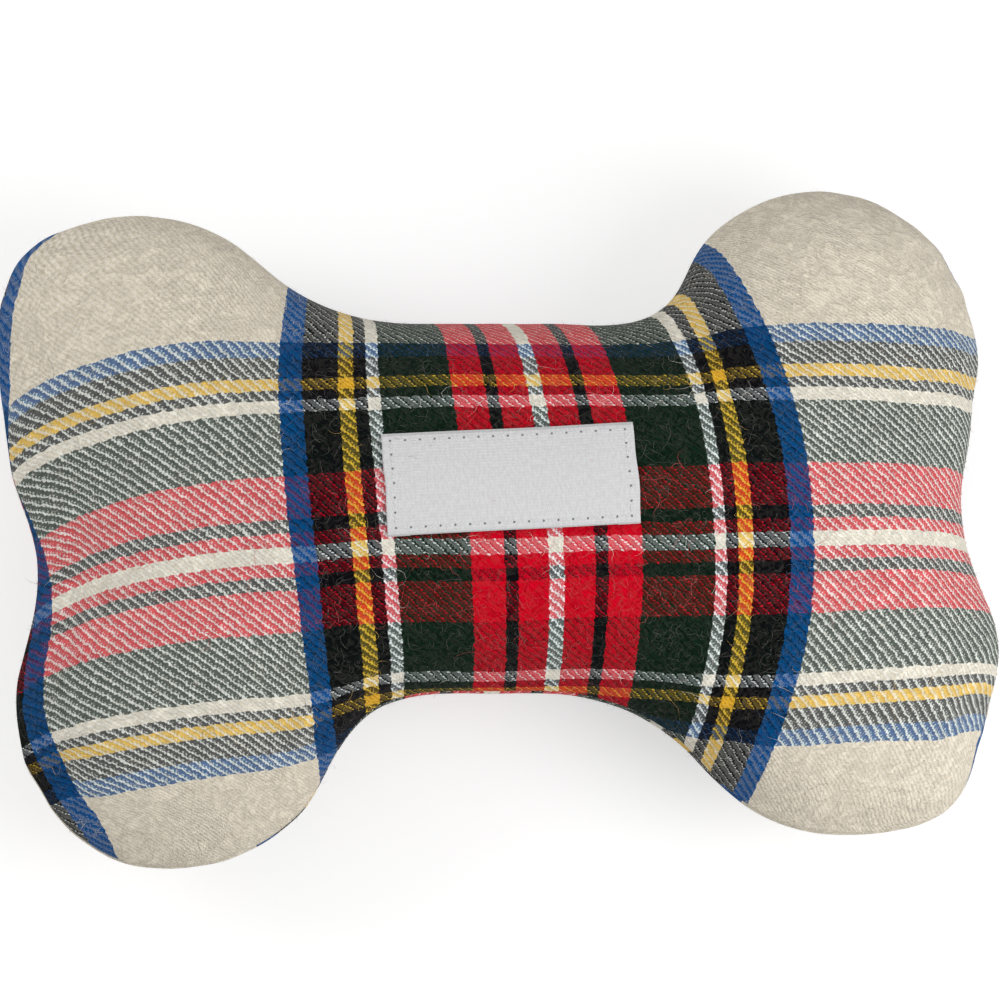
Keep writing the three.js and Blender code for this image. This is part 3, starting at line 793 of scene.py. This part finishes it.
# %% Sew the label on
STITCH_INSET = 1.5 * MM
STITCH_PITCH = 2.9 * MM
STITCH_SHOWN_SHARE = 0.8
LABEL_THREAD_RADIUS = 0.15 * MM
STITCH_ARCH = 0.2 * MM


def label_row():
    """The needle's places round the label, side after side, as lengths along and across it."""
    half_along = LABEL_LENGTH / 2 - STITCH_INSET
    half_across = LABEL_WIDTH / 2 - STITCH_INSET
    corners = [(-1, -1), (1, -1), (1, 1), (-1, 1)]
    row = []
    for (x, y), (next_x, next_y) in zip(corners, corners[1:] + corners[:1]):
        start = Vector((x * half_along, y * half_across))
        end = Vector((next_x * half_along, next_y * half_across))
        count = round((end - start).length / STITCH_PITCH)
        row += [start.lerp(end, step / count) for step in range(count)]
    return row


def sew_label():
    """All the stitches that hold the label."""
    skin = bmesh.new()
    row = label_row()
    for start, end in zip(row, row[1:] + row[:1]):
        gap = (1 - STITCH_SHOWN_SHARE) / 2
        first, last = start.lerp(end, gap), start.lerp(end, 1 - gap)
        low = RIBBON_LIFT - LABEL_THREAD_RADIUS
        sew(skin, on_label(*first, low), on_label(*last, low), Vector((0, 0, STITCH_ARCH)), LABEL_THREAD_RADIUS)
    print("label:", len(row), "stitches")
    return as_object(skin, "label_stitches")


label_stitches = sew_label()

# %% Close the opening by hand
CLOSING_PITCH = 3.4 * MM
CLOSING_SLANT = 1.1 * MM
CLOSING_REACH = 1.5 * MM
CLOSING_THREAD_RADIUS = 0.2 * MM
closing_low, closing_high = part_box("closing_thread")


def rim_at(y, z):
    """The outermost cloth of the right end at a place along it, found from the side."""
    surface = front_surface if z > seam_z else back_surface
    return surface.ray_cast(Vector((2 * cad_box[1].x, y, z)), Vector((-1, 0, 0)))[0]


def close_opening():
    """Slanting stitches over the crease, from one panel to the other."""
    skin = bmesh.new()
    count = round((closing_high.y - closing_low.y) / CLOSING_PITCH)
    for step in range(count):
        y = closing_low.y + (step + 0.5) * (closing_high.y - closing_low.y) / count
        start = rim_at(y - CLOSING_SLANT / 2, seam_z + CLOSING_REACH)
        end = rim_at(y + CLOSING_SLANT / 2, seam_z - CLOSING_REACH)
        sew(skin, start, end, Vector((0.15 * MM, 0, 0)), CLOSING_THREAD_RADIUS)
    print("opening:", count, "stitches")
    return as_object(skin, "closing_stitches")


closing_stitches = close_opening()

# %% [markdown]
# ## The stuffing
#
# Six handfuls of fibre fill the bone. Each is a copy of its packed form, remeshed finely, rounded, drawn in
# a little from the cloth and roughened, as a wad of polyester fibre is. The remesh doesn't keep a map, so
# their finish reads Object coordinates.

# %% Fluff the fillings
FILL_NODES = {
    "fill_upper_left": "root",
    "fill_lower_left": "root",
    "fill_upper_right": "root",
    "fill_lower_right": "root",
    "fill_back": "root",
    "fill_front": "front",
}
FLUFF_VOXEL = 2.4 * MM
FLUFF_DRAWN_IN = 0.7 * MM
FLUFF_DEPTH = 0.5 * MM
FLUFF_SIZE = 5 * MM
FLUFF_COVER = CLOTH_THICKNESS + 0.4 * MM


def inside_cloth(point):
    """The point, or the nearest place to it that both panels cover by a clear gap."""
    for surface in (front_surface, back_surface):
        place, normal, _, _ = surface.find_nearest(point)
        depth = (place - point).dot(normal)
        if depth < FLUFF_COVER:
            point = point - normal * (FLUFF_COVER - depth)
    return point


def fluff(node):
    """A wad of fibre in the place of a packed filling."""
    skin = bmesh.new()
    skin.from_mesh(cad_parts[node].data)
    bmesh.ops.remove_doubles(skin, verts=skin.verts, dist=0.01 * MM)
    wad = as_object(skin, node + "_fibre")
    remesh = wad.modifiers.new("remesh", "REMESH")
    remesh.mode = "VOXEL"
    remesh.voxel_size = FLUFF_VOXEL
    relax = wad.modifiers.new("relax", "SMOOTH")
    relax.iterations = 4
    apply_modifiers(wad)
    points = coordinates(wad.data)
    normals = np.array([v.normal for v in wad.data.vertices])
    rough = np.array([noise.fractal(Vector(point) / FLUFF_SIZE, 1, 2, 3) for point in points])
    depth = FLUFF_DRAWN_IN + FLUFF_DEPTH * np.clip(rough, -1, 1)
    points -= normals * depth[:, None]
    set_coordinates(wad.data, np.array([inside_cloth(Vector(point)) for point in points]))
    wad.data.polygons.foreach_set("use_smooth", [True] * len(wad.data.polygons))
    return wad


wads = {node: fluff(node) for node in FILL_NODES}
print("fillings:", {node: len(wad.data.polygons) for node, wad in wads.items()})

# %% [markdown]
# ## The squeaker's bladder
#
# The bladder is a thin blown disc of soft plastic with a moulding rim round its middle and a nozzle turned
# in at its base. It is a half section spun once round, so the section is the only shape to draw: the roof,
# the rim and the floor, with the nozzle turned up inside.

# %% Spin the bladder
bladder_low, bladder_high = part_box("squeaker_bellows")
housing_low, housing_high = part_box("reed_housing")
BLADDER_WALL = 0.8 * MM
SPIN_STEPS = 64
bladder_axis = (bladder_low + bladder_high) / 2
bladder_radius = (bladder_high.x - bladder_low.x) / 2
bladder_half = (bladder_high.z - bladder_low.z) / 2
nozzle_radius = (housing_high.x - housing_low.x) / 2 - 1.3 * MM
nozzle_top = bladder_low.z + 6.5 * MM


def dome(share, up):
    """A place on the bladder's rounded face: share 0 at the axis and 1 at the rim."""
    body = bladder_radius - 1.6 * MM
    height = bladder_half * (1 - share**3.2) ** 0.6
    return Vector((body * share, 0, up * max(height, 0.6 * MM)))


def spin_bladder():
    """The bladder's wall, spun from its half section and given its thickness."""
    skin = bmesh.new()
    middle_z = bladder_axis.z
    low_z = bladder_low.z - middle_z
    section = [dome(step / 16, 1) for step in range(17)]
    section += [Vector((bladder_radius, 0, 0.5 * MM)), Vector((bladder_radius, 0, -0.5 * MM))]
    section += [dome(step / 16, -1) for step in range(16, 4, -1)]
    section += [Vector((nozzle_radius, 0, low_z)), Vector((nozzle_radius - 0.4 * MM, 0, nozzle_top - middle_z))]
    points = [skin.verts.new(point) for point in section]
    edges = [skin.edges.new(pair) for pair in zip(points, points[1:])]
    bmesh.ops.spin(
        skin, geom=points + edges, cent=(0, 0, 0), axis=(0, 0, 1), angle=2 * math.pi, steps=SPIN_STEPS,
        use_merge=True,
    )
    bmesh.ops.remove_doubles(skin, verts=skin.verts, dist=0.01 * MM)
    bmesh.ops.recalc_face_normals(skin, faces=skin.faces)
    bmesh.ops.translate(skin, vec=bladder_axis, verts=skin.verts)
    for face in skin.faces:
        face.smooth = True
    return as_object(skin, "bladder")


bladder = spin_bladder()
thicken(bladder, BLADDER_WALL)
print("bladder:", len(bladder.data.polygons), "faces")

# %% [markdown]
# ## Which nodes each piece stands for, and which body holds it
#
# When the bone is squeezed, its front gives way and its seam stays. Each piece hides the packed nodes that it
# stands for. The back cloth, its nap, the closing stitches and the fixed fillings are put on the root body; the
# front cloth, all that is sewn on it or lies under it, and the bladder, which spans both, have their places baked
# into their meshes and are put on no body.

# %% Bodies and replaced nodes
def dress(piece, nodes=(), moves=False):
    """Hide the nodes that a piece stands for, and either bake its place into its mesh, if it moves, or put it on
    the root body.
    """
    if nodes:
        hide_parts(*nodes)
    if moves:
        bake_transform(piece)
    else:
        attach(piece, "root")


dress(front_cloth, ["front_panel"], moves=True)
dress(back_cloth, ["back_panel"])
dress(front_nap, moves=True)
dress(back_nap)
dress(woven_label, ["label"], moves=True)
dress(label_stitches, ["label_thread"], moves=True)
dress(closing_stitches, ["closing_thread"])
dress(bladder, ["squeaker_bellows"], moves=True)
for node, wad in wads.items():
    dress(wad, [node], moves=FILL_NODES[node] == "front")

# %% [markdown]
# ## Writing materials as sums
#
# A material is a net of nodes, and most of a woven cloth's net is arithmetic on yarn counts. Two small
# classes keep that readable. A Wire is a socket whose value can stand in a sum, so that `fold * 2 + 1` adds
# its Math nodes by itself. A Finish is a material, with one method that adds any other node.

# %% Wires
def colour(red, green, blue):
    """A colour as it is seen on a screen, 0 to 255, turned into the light that a node wants."""
    seen = [value / 255 for value in (red, green, blue)]
    return tuple(v / 12.92 if v <= 0.04045 else ((v + 0.055) / 1.055) ** 2.4 for v in seen) + (1,)


def plug(tree, value, socket):
    """Put a number, a colour or a wire into a socket."""
    if isinstance(value, Wire):
        tree.links.new(value.socket, socket)
    else:
        socket.default_value = value


def calculate(tree, operation, *values):
    """Add one Math node and return its result."""
    node = tree.nodes.new("ShaderNodeMath")
    node.operation = operation
    for slot, value in enumerate(values):
        plug(tree, value, node.inputs[slot])
    return Wire(tree, node.outputs[0])


class Wire:
    """A socket whose value can stand in a sum: each operator adds one Math node."""

    def __init__(self, tree, socket):
        self.tree = tree
        self.socket = socket

    def output(self, index):
        """Another output of the same node."""
        return Wire(self.tree, self.socket.node.outputs[index])

    def __add__(self, other):
        return calculate(self.tree, "ADD", self, other)

    __radd__ = __add__

    def __sub__(self, other):
        return calculate(self.tree, "SUBTRACT", self, other)

    def __rsub__(self, other):
        return calculate(self.tree, "SUBTRACT", other, self)

    def __mul__(self, other):
        return calculate(self.tree, "MULTIPLY", self, other)

    __rmul__ = __mul__

    def __truediv__(self, other):
        return calculate(self.tree, "DIVIDE", self, other)

    def __pow__(self, other):
        return calculate(self.tree, "POWER", self, other)

    def __mod__(self, other):
        return calculate(self.tree, "FLOORED_MODULO", self, other)

    def __lt__(self, other):
        return calculate(self.tree, "LESS_THAN", self, other)

    def __gt__(self, other):
        return calculate(self.tree, "GREATER_THAN", self, other)

    def __floor__(self):
        return calculate(self.tree, "FLOOR", self)

    def __abs__(self):
        return calculate(self.tree, "ABSOLUTE", self)

    def sine(self):
        return calculate(self.tree, "SINE", self)

    def to_and_fro(self, reach):
        """The value counted up to reach, back down to zero, and up again."""
        return calculate(self.tree, "PINGPONG", self, reach)

    def least(self, other):
        return calculate(self.tree, "MINIMUM", self, other)


# %% Finishes
class Finish:
    """A material. node() adds any node: its settings first, then the values or wires of its sockets."""

    def __init__(self, name):
        self.material = bpy.data.materials.new(name)
        self.material.use_nodes = True
        self.tree = self.material.node_tree
        self.tree.nodes.clear()

    def node(self, kind, settings=None, sockets=None, output=0):
        made = self.tree.nodes.new(kind)
        for key, value in (settings or {}).items():
            if key == "stops":
                self.set_stops(made.color_ramp, value)
            elif key == "interpolation" and kind == "ShaderNodeValToRGB":
                made.color_ramp.interpolation = value
            else:
                setattr(made, key, value)
        for key, value in (sockets or {}).items():
            plug(self.tree, value, made.inputs[key])
        return Wire(self.tree, made.outputs[output])

    @staticmethod
    def set_stops(ramp, stops):
        """Give a ramp its stops, which are pairs of a share and a colour."""
        while len(ramp.elements) < len(stops):
            ramp.elements.new(1)
        for element, (share, shade) in zip(ramp.elements, stops):
            element.position = share
            element.color = shade

    def mix(self, share, first, second, blend="MIX"):
        """Two colours, mixed."""
        settings = {"data_type": "RGBA", "blend_type": blend}
        return self.node("ShaderNodeMix", settings, {0: share, 6: first, 7: second}, 2)

    def vector(self, operation, first, second):
        """One Vector Math node."""
        return self.node("ShaderNodeVectorMath", {"operation": operation}, {0: first, 1: second})

    def noise(self, place, scale, detail=2, roughness=0.5, distortion=0):
        """A noise's value, about 0.5 in the middle."""
        sockets = {"Vector": place, "Scale": scale, "Detail": detail, "Roughness": roughness}
        return self.node("ShaderNodeTexNoise", None, sockets | {"Distortion": distortion})

    def soft_step(self, value, low, high):
        """0 below low, 1 above high, and smooth between."""
        settings = {"interpolation_type": "SMOOTHSTEP"}
        return self.node("ShaderNodeMapRange", settings, {"Value": value, "From Min": low, "From Max": high})

    def bump(self, height, distance, strength=1.0):
        """A normal that is tipped by a height."""
        return self.node("ShaderNodeBump", None, {"Height": height, "Distance": distance, "Strength": strength})

    def surface(self, sockets):
        """The usual shader, with those sockets set."""
        return self.close(self.node("ShaderNodeBsdfPrincipled", None, sockets))

    def close(self, shader):
        """Wire a shader to the output, and give back the material."""
        end = self.tree.nodes.new("ShaderNodeOutputMaterial")
        plug(self.tree, shader, end.inputs["Surface"])
        return self.material


# %% [markdown]
# ## Tartan
#
# A tartan is one list of stripes, its sett, used twice: for the warp, which runs up the cloth, and for the
# weft, which runs across. Each list is read out from the middle and then back, again and again. In a 2/2
# twill each yarn goes over two and under two, one step further on in each row, so the warp lies on top
# where the sum of both yarns' numbers, counted in fours, is 0 or 1. That rule alone gives the solid
# squares, the hatched ones and the slanting ribs. The colours and counts are those of a dress tartan, a red
# and green one with a white ground.

# %% The dyes and the setts
YARN = 0.525 * MM
CREAM = colour(229, 221, 205)
WHITE = colour(238, 234, 222)
RED = colour(206, 0, 34)
BLACK = colour(8, 8, 13)
GREEN = colour(12, 36, 22)
BLUE = colour(0, 71, 124)
YELLOW = colour(230, 184, 58)
WARP_SETT = [
    (3, WHITE), (11, RED), (6, BLACK), (13, RED), (27, GREEN), (6, WHITE), (5, BLACK), (6, YELLOW),
    (14, BLACK), (8, BLUE), (50, CREAM),
]
WEFT_SETT = [
    (2.5, WHITE), (5, RED), (5, BLACK), (16, RED), (24, GREEN), (5, WHITE), (4, BLACK), (5, YELLOW),
    (9, BLACK), (7, BLUE), (50, CREAM),
]


def sett_stops(sett):
    """The stops of a ramp that holds a sett from its middle to its end, and the yarns it counts."""
    total = sum(count for count, _ in sett)
    stops = []
    reached = 0
    for count, dye in sett:
        stops.append((reached / total, dye))
        reached += count
    return stops, total


print("half setts:", sett_stops(WARP_SETT)[1], "and", sett_stops(WEFT_SETT)[1], "yarns")


# %% Look up a yarn's dye
def dyed(finish, yarn, sett):
    """The colour of the yarn with that number."""
    stops, total = sett_stops(sett)
    share = yarn.to_and_fro(total) / total
    return finish.node("ShaderNodeValToRGB", {"interpolation": "CONSTANT", "stops": stops}, {0: share})


# %% Brushed flannel
def flannel(name, warp_middle, weft_middle, attribute=None):
    """The tartan's finish: warp_middle and weft_middle say where the pattern's middle lies."""
    cloth = Finish(name)
    place = cloth.node("ShaderNodeUVMap", {"uv_map": "cloth"})
    parts = cloth.node("ShaderNodeSeparateXYZ", None, {0: place})
    fray = cloth.noise(place, 1 / (1.1 * MM), detail=3)
    fray_too = cloth.noise(place, 1 / (1.6 * MM), detail=3)
    warp_at = (parts - warp_middle) / YARN + (fray - 0.5) * 2.3
    weft_at = (parts.output(1) - weft_middle) / YARN + (fray_too - 0.5) * 2.3
    warp_yarn = math.floor(warp_at)
    weft_yarn = math.floor(weft_at)
    step = (warp_yarn + weft_yarn) % 4
    warp_over = step < 2
    warp_dye = dyed(cloth, warp_yarn + 0.5, WARP_SETT)
    weft_dye = dyed(cloth, weft_yarn + 0.5, WEFT_SETT)

    # A float is round across and bowed along, so its middle stands highest
    across_warp = ((warp_at - warp_yarn) * math.pi).sine()
    across_weft = ((weft_at - weft_yarn) * math.pi).sine()
    along_warp = ((step + (weft_at - weft_yarn)) * (math.pi / 2)).sine()
    along_weft = ((step - 2 + (warp_at - warp_yarn)) * (math.pi / 2)).sine()
    warp_height = across_warp * (0.45 + 0.55 * abs(along_warp))
    weft_height = across_weft * (0.45 + 0.55 * abs(along_weft))
    float_height = warp_over * warp_height + (1 - warp_over) * weft_height

    # Floats side by side merge into the slanting ribs of the twill
    rib_height = abs(((warp_at + weft_at) * (math.pi / 2)).sine())
    height = float_height * 0.4 + rib_height * 0.6

    # Dark fibres creep over the edges of a pale float, and further over the weft than over the closer warp; shade
    # is painted there too
    curls = cloth.noise(place, 1 / (2.6 * MM), detail=3, roughness=0.55, distortion=1.5)
    fine = cloth.noise(place, 1 / (0.45 * MM), detail=3, roughness=0.6, distortion=0.8)
    broad = cloth.noise(place, 1 / (16 * MM), detail=1)
    strand = 1 - cloth.soft_step(abs(curls - 0.5), 0, 0.08)
    top = cloth.mix(warp_over, weft_dye, warp_dye)
    beneath = cloth.mix(warp_over, warp_dye, weft_dye)
    # A float's low edges are multiplied by the yarn beneath: partly that yarn's colour, partly painted shade in
    # the dips between floats
    edge = 1 - cloth.soft_step(height + (fine - 0.5) * 0.8, 0.26, 0.74)
    show_through_and_shade = 0.08 + edge * (1 - 0.2 * warp_over)
    filtered = cloth.node("ShaderNodeGamma", None, {0: beneath, 1: 0.62})
    shaded_and_shown_through = cloth.mix(show_through_and_shade.least(1), top, filtered, "MULTIPLY")
    darkness = 1 - cloth.node("ShaderNodeRGBToBW", None, {0: warp_dye}) * 2
    hues = cloth.node("ShaderNodeSeparateColor", None, {0: warp_dye})
    blueness = (abs(hues.output(2) - hues) + hues.output(2) - hues).least(0.5) * 2
    covered = 1 - cloth.soft_step(height + (fine - 0.5) * 0.7, 0.5 + 0.3 * blueness, 1.05 + 0.4 * blueness)
    creep = covered * (1 - warp_over) * (darkness + abs(darkness) + blueness * 2).least(2) * 0.5
    blended = cloth.mix(0.04 + 0.16 * fine + creep, shaded_and_shown_through, beneath)

    # Beside a dark yarn a cream one looks whiter than among its own kind, where each warms the next
    contrast = abs(cloth.node("ShaderNodeRGBToBW", None, {0: top}) - cloth.node("ShaderNodeRGBToBW", None, {0: beneath}))
    whitened = cloth.vector("MULTIPLY", blended, (1.15, 1.32, 1.5))
    woven = cloth.mix(contrast, blended, whitened)

    # The brushing hides the weave more in some places than in others
    brushed = 0.25 + 0.75 * cloth.soft_step(broad, 0.4, 0.65)
    uneven = cloth.node("ShaderNodeTexWhiteNoise", {"noise_dimensions": "1D"}, {"W": warp_yarn * 3.7 + weft_yarn})
    # Painted light and shade: the floats' heights and the nap's curls lighten and darken the colour, beside a
    # random tone for each yarn
    shade = 1 + 0.26 * (height - 0.5) * brushed + 0.1 * uneven + 0.3 * (fine - 0.5) + 0.75 * (curls - 0.5)
    shaded = cloth.vector("SCALE", woven, (0, 0, 0))
    plug(cloth.tree, shade, shaded.socket.node.inputs["Scale"])
    haze = cloth.mix(strand * 0.02, shaded, CREAM)
    relief = height * 0.6 * brushed + fine * 0.6 + curls * 1.5 + strand * 0.35
    normal = cloth.bump(relief, 0.4 * MM, 0.7)
    return cloth.surface(
        {
            "Base Color": haze,
            "Roughness": 0.95,
            "Specular IOR Level": 0.06,
            "Sheen Weight": 0.04,
            "Sheen Roughness": 0.5,
            "Normal": normal,
        }
    )


FRONT_MIDDLE = (0 * MM, 0 * MM)
BACK_MIDDLE = (0 * MM, 0 * MM)
front_flannel = flannel("front_flannel", *FRONT_MIDDLE)
back_flannel = flannel("back_flannel", *BACK_MIDDLE)


# %% The nap's fibres
def nap_fibre(name, warp_middle, weft_middle):
    """The dye of the yarn that a fibre is rooted in, paled as a single fibre is."""
    nap = Finish(name)
    place = nap.node("ShaderNodeAttribute", {"attribute_name": "rooted_at"}, None, 1)
    parts = nap.node("ShaderNodeSeparateXYZ", None, {0: place})
    warp_yarn = math.floor((parts - warp_middle) / YARN)
    weft_yarn = math.floor((parts.output(1) - weft_middle) / YARN)
    warp_over = (warp_yarn + weft_yarn) % 4 < 2
    warp_dye = dyed(nap, warp_yarn + 0.5, WARP_SETT)
    weft_dye = dyed(nap, weft_yarn + 0.5, WEFT_SETT)
    rooted = nap.mix(warp_over, weft_dye, warp_dye)
    varied = nap.noise(place, 1 / (3 * MM), detail=1)
    paled = nap.mix(0.06 + 0.26 * varied, rooted, colour(205, 200, 190))
    return nap.surface({"Base Color": paled, "Roughness": 0.8, "Specular IOR Level": 0.2, "Sheen Weight": 0.2})


front_nap_fibre = nap_fibre("front_nap_fibre", *FRONT_MIDDLE)
back_nap_fibre = nap_fibre("back_nap_fibre", *BACK_MIDDLE)


# %% [markdown]
# ## The other finishes
#
# The label is white damask: fine weft ribs, painted lighter on top and darker in their hollows, a faint slanting
# figure and the needle's holes between its stitches, painted dark as the shade in them. The threads are twisted,
# so bands wind round them, with painted shade in their grooves. The plastics have the faint mottle and the
# moulding marks of their kind, and the stuffing is a tangle, painted grey as shade in its hollows.

# %% Damask ribbon
def damask():
    """White woven ribbon with needle holes along its stitching."""
    ribbon = Finish("white_damask")
    place = ribbon.node("ShaderNodeUVMap", {"uv_map": "ribbon"})
    parts = ribbon.node("ShaderNodeSeparateXYZ", None, {0: place})
    along = parts
    across = parts.output(1)
    rib = ((across / (0.32 * MM)) * math.pi).sine()
    end = ((along / (0.24 * MM) + math.floor(across / (0.32 * MM)) * 0.5) * math.pi).sine()
    cross_grain = ribbon.noise(ribbon.vector("MULTIPLY", place, (1, 0.4, 1)), 1 / (0.5 * MM), detail=3)
    cloudy = ribbon.noise(place, 1 / (6 * MM), detail=2)
    weave = rib * 0.5 + end * 0.5
    half_along = LABEL_LENGTH / 2 - STITCH_INSET
    half_across = LABEL_WIDTH / 2 - STITCH_INSET
    pitch_along = 2 * half_along / round(2 * half_along / STITCH_PITCH)
    pitch_across = 2 * half_across / round(2 * half_across / STITCH_PITCH)
    to_row = abs(abs(across) - half_across)
    to_hole = abs(((along + half_along) / pitch_along + 0.5) % 1 - 0.5) * pitch_along
    row_hole = 1 - ribbon.soft_step((to_row**2 + to_hole**2) ** 0.5, 0.12 * MM, 0.3 * MM)
    to_column = abs(abs(along) - half_along)
    to_side_hole = abs(((across + half_across) / pitch_across + 0.5) % 1 - 0.5) * pitch_across
    column_hole = 1 - ribbon.soft_step((to_column**2 + to_side_hole**2) ** 0.5, 0.12 * MM, 0.3 * MM)
    inside = (abs(along) < half_along + 0.4 * MM) * (abs(across) < half_across + 0.4 * MM)
    hole = calculate(ribbon.tree, "MAXIMUM", row_hole, column_hole) * inside
    # Painted light and shade: the weave's raised ribs are lighter and its hollows darker
    pale = ribbon.mix(0.5 + 0.25 * weave, colour(217, 217, 218), colour(236, 236, 237))
    grained = ribbon.mix(ribbon.soft_step(cross_grain, 0.35, 0.65) * 0.3, pale, colour(190, 190, 194))
    clouded = ribbon.mix(cloudy * 0.2, grained, colour(222, 220, 216))
    # Painted shade: the needle holes are darkened nearly to black, as the shade inside them
    holes_shaded = ribbon.mix(hole * 0.75, clouded, colour(60, 60, 66))
    relief = weave * 0.3 + cross_grain * 0.4 - hole * 1.5
    return ribbon.surface(
        {
            "Base Color": holes_shaded,
            "Roughness": 0.62,
            "Specular IOR Level": 0.3,
            "Sheen Weight": 0.1,
            "Normal": ribbon.bump(relief, 0.16 * MM, 0.9),
        }
    )


# %% Thread
def twisted(name, light, dark):
    """A spun thread: the twist's bands wind round it, with painted shade in their grooves."""
    thread = Finish(name)
    place = thread.node("ShaderNodeTexCoord", None, None, 3)
    bands = thread.node(
        "ShaderNodeTexWave", {"bands_direction": "DIAGONAL"}, {"Vector": place, "Scale": 1 / (1.2 * MM)}, 1
    )
    fluff_marks = thread.noise(place, 1 / (0.4 * MM), detail=2)
    # Painted shade in the twist's grooves: the bands mix towards the darker colour, with random fluff flecks on
    # top
    tone = thread.mix(bands * 0.6 + fluff_marks * 0.4, dark, light)
    return thread.surface(
        {"Base Color": tone, "Roughness": 0.6, "Normal": thread.bump(bands, 0.08 * MM, 0.5)}
    )


# %% Plastics
def plastic(name, shade, roughness, see_through=0.0):
    """A moulded plastic with a faint mottle and fine flow marks."""
    moulded = Finish(name)
    place = moulded.node("ShaderNodeTexCoord", None, None, 3)
    mottle = moulded.noise(place, 1 / (4 * MM), detail=3)
    marks = moulded.noise(moulded.vector("MULTIPLY", place, (1, 1, 6)), 1 / (2 * MM), detail=4)
    darker = tuple(channel * 0.82 for channel in shade[:3]) + (1,)
    tone = moulded.mix(mottle, darker, shade)
    return moulded.surface(
        {
            "Base Color": tone,
            "Roughness": roughness + 0.15 * marks,
            "Transmission Weight": see_through,
            "IOR": 1.5,
            "Normal": moulded.bump(marks, 0.1 * MM, 0.25),
        }
    )


# %% Polyester fibre
def tangle():
    """A white tangle of crimped fibre, painted grey as shade where the crimp lies low."""
    fibre = Finish("polyester_fibre")
    place = fibre.node("ShaderNodeTexCoord", None, None, 3)
    crimp = fibre.noise(place, 1 / (3 * MM), detail=5, roughness=0.65, distortion=2)
    strand = 1 - fibre.soft_step(abs(crimp - 0.5), 0, 0.03)
    # Painted shade: the fibre greys where the crimp lies low, in the tangle's hollows
    tone = fibre.mix(crimp, colour(196, 196, 198), colour(243, 243, 244))
    return fibre.surface(
        {
            "Base Color": tone,
            "Roughness": 0.9,
            "Sheen Weight": 0.3,
            "Normal": fibre.bump(crimp + strand * 0.4, 0.8 * MM, 0.8),
        }
    )


# %% Put the finishes on
def finish_piece(piece, material):
    """Give a piece one material."""
    piece.data.materials.clear()
    piece.data.materials.append(material)


finish_piece(front_cloth, front_flannel)
finish_piece(back_cloth, back_flannel)
finish_piece(front_nap, front_nap_fibre)
finish_piece(back_nap, back_nap_fibre)
finish_piece(woven_label, damask())
# Each thread's second colour is the painted shade in its twist's grooves
finish_piece(label_stitches, twisted("label_thread_white", colour(240, 240, 242), colour(206, 206, 210)))
seam_cotton = twisted("seam_thread_cream", colour(226, 218, 198), colour(178, 168, 146))
finish_piece(closing_stitches, seam_cotton)
finish_piece(bladder, plastic("bladder_vinyl", colour(232, 232, 226), 0.35))
stuffing = tangle()
for wad in wads.values():
    finish_piece(wad, stuffing)
whistle_plastic = plastic("whistle_plastic", colour(240, 236, 222), 0.3)
reed_film = plastic("reed_film", colour(222, 196, 120), 0.22)
NODE_FINISHES = {
    "seam_thread": seam_cotton,
    "reed_housing": whistle_plastic,
    "reed_trough": whistle_plastic,
    "reed_clamp": whistle_plastic,
    "reed_blade": reed_film,
}
for node, material in NODE_FINISHES.items():
    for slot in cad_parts[node].material_slots:
        slot.material = material
print("finished", len(NODE_FINISHES), "packed nodes")

# %% [markdown]
# ## Studio
#
# A pale floor, a soft sky, a lamp on the left and a nearer one at the lower right, which is where the bone
# is brightest. Together they light a level surface about as strongly as a plain white sky of strength 1
# would, so that a dye renders as it is written. To the camera the floor is a white paper sweep that glows a
# little, so shadows show on it only where the toy touches down.

# %% Floor
FLOOR_SIZE = 6
PAPER_GLOW = 0.56


def lay_floor():
    """A plain floor that the camera sees as white and the toy sees as pale grey."""
    skin = bmesh.new()
    bmesh.ops.create_grid(skin, x_segments=1, y_segments=1, size=FLOOR_SIZE / 2)
    made = as_object(skin, "floor")
    paint = Finish("floor_white")
    path = paint.node("ShaderNodeLightPath")
    matte = paint.node("ShaderNodeBsdfDiffuse", None, {"Color": colour(206, 206, 206)})
    paper = paint.node("ShaderNodeBsdfDiffuse", None, {"Color": colour(200, 200, 200)})
    glow = paint.node("ShaderNodeEmission", None, {"Color": (1, 1, 1, 1), "Strength": PAPER_GLOW})
    lit = paint.node("ShaderNodeAddShader", None, {0: paper, 1: glow})
    both = paint.node("ShaderNodeMixShader", None, {0: path, 1: matte, 2: lit})
    finish_piece(made, paint.close(both))
    return made


floor = lay_floor()

# %% Sky and lamps
SKY_STRENGTH = 0.5
LEFT_LAMP = {"power": 1.2, "size": 0.35, "place": Vector((-0.55, 0.2, 0.4))}
RIGHT_LAMP = {"power": 1.05, "size": 0.3, "place": Vector((0.3, -0.15, 0.33))}


def hang_lamp(name, power, size, place):
    """A square lamp that faces the toy."""
    data = bpy.data.lights.new(name, "AREA")
    data.energy = power
    data.size = size
    lamp = bpy.data.objects.new(name, data)
    bpy.context.scene.collection.objects.link(lamp)
    lamp.location = place
    lamp.rotation_euler = (-place).to_track_quat("-Z", "Y").to_euler()


def light_studio():
    """A white sky and two broad lamps."""
    world = bpy.data.worlds.new("sky")
    bpy.context.scene.world = world
    world.use_nodes = True
    background = world.node_tree.nodes["Background"]
    background.inputs["Color"].default_value = (1, 1, 1, 1)
    background.inputs["Strength"].default_value = SKY_STRENGTH
    hang_lamp("left_lamp", **LEFT_LAMP)
    hang_lamp("right_lamp", **RIGHT_LAMP)
    bpy.context.scene.view_settings.view_transform = "Standard"


light_studio()
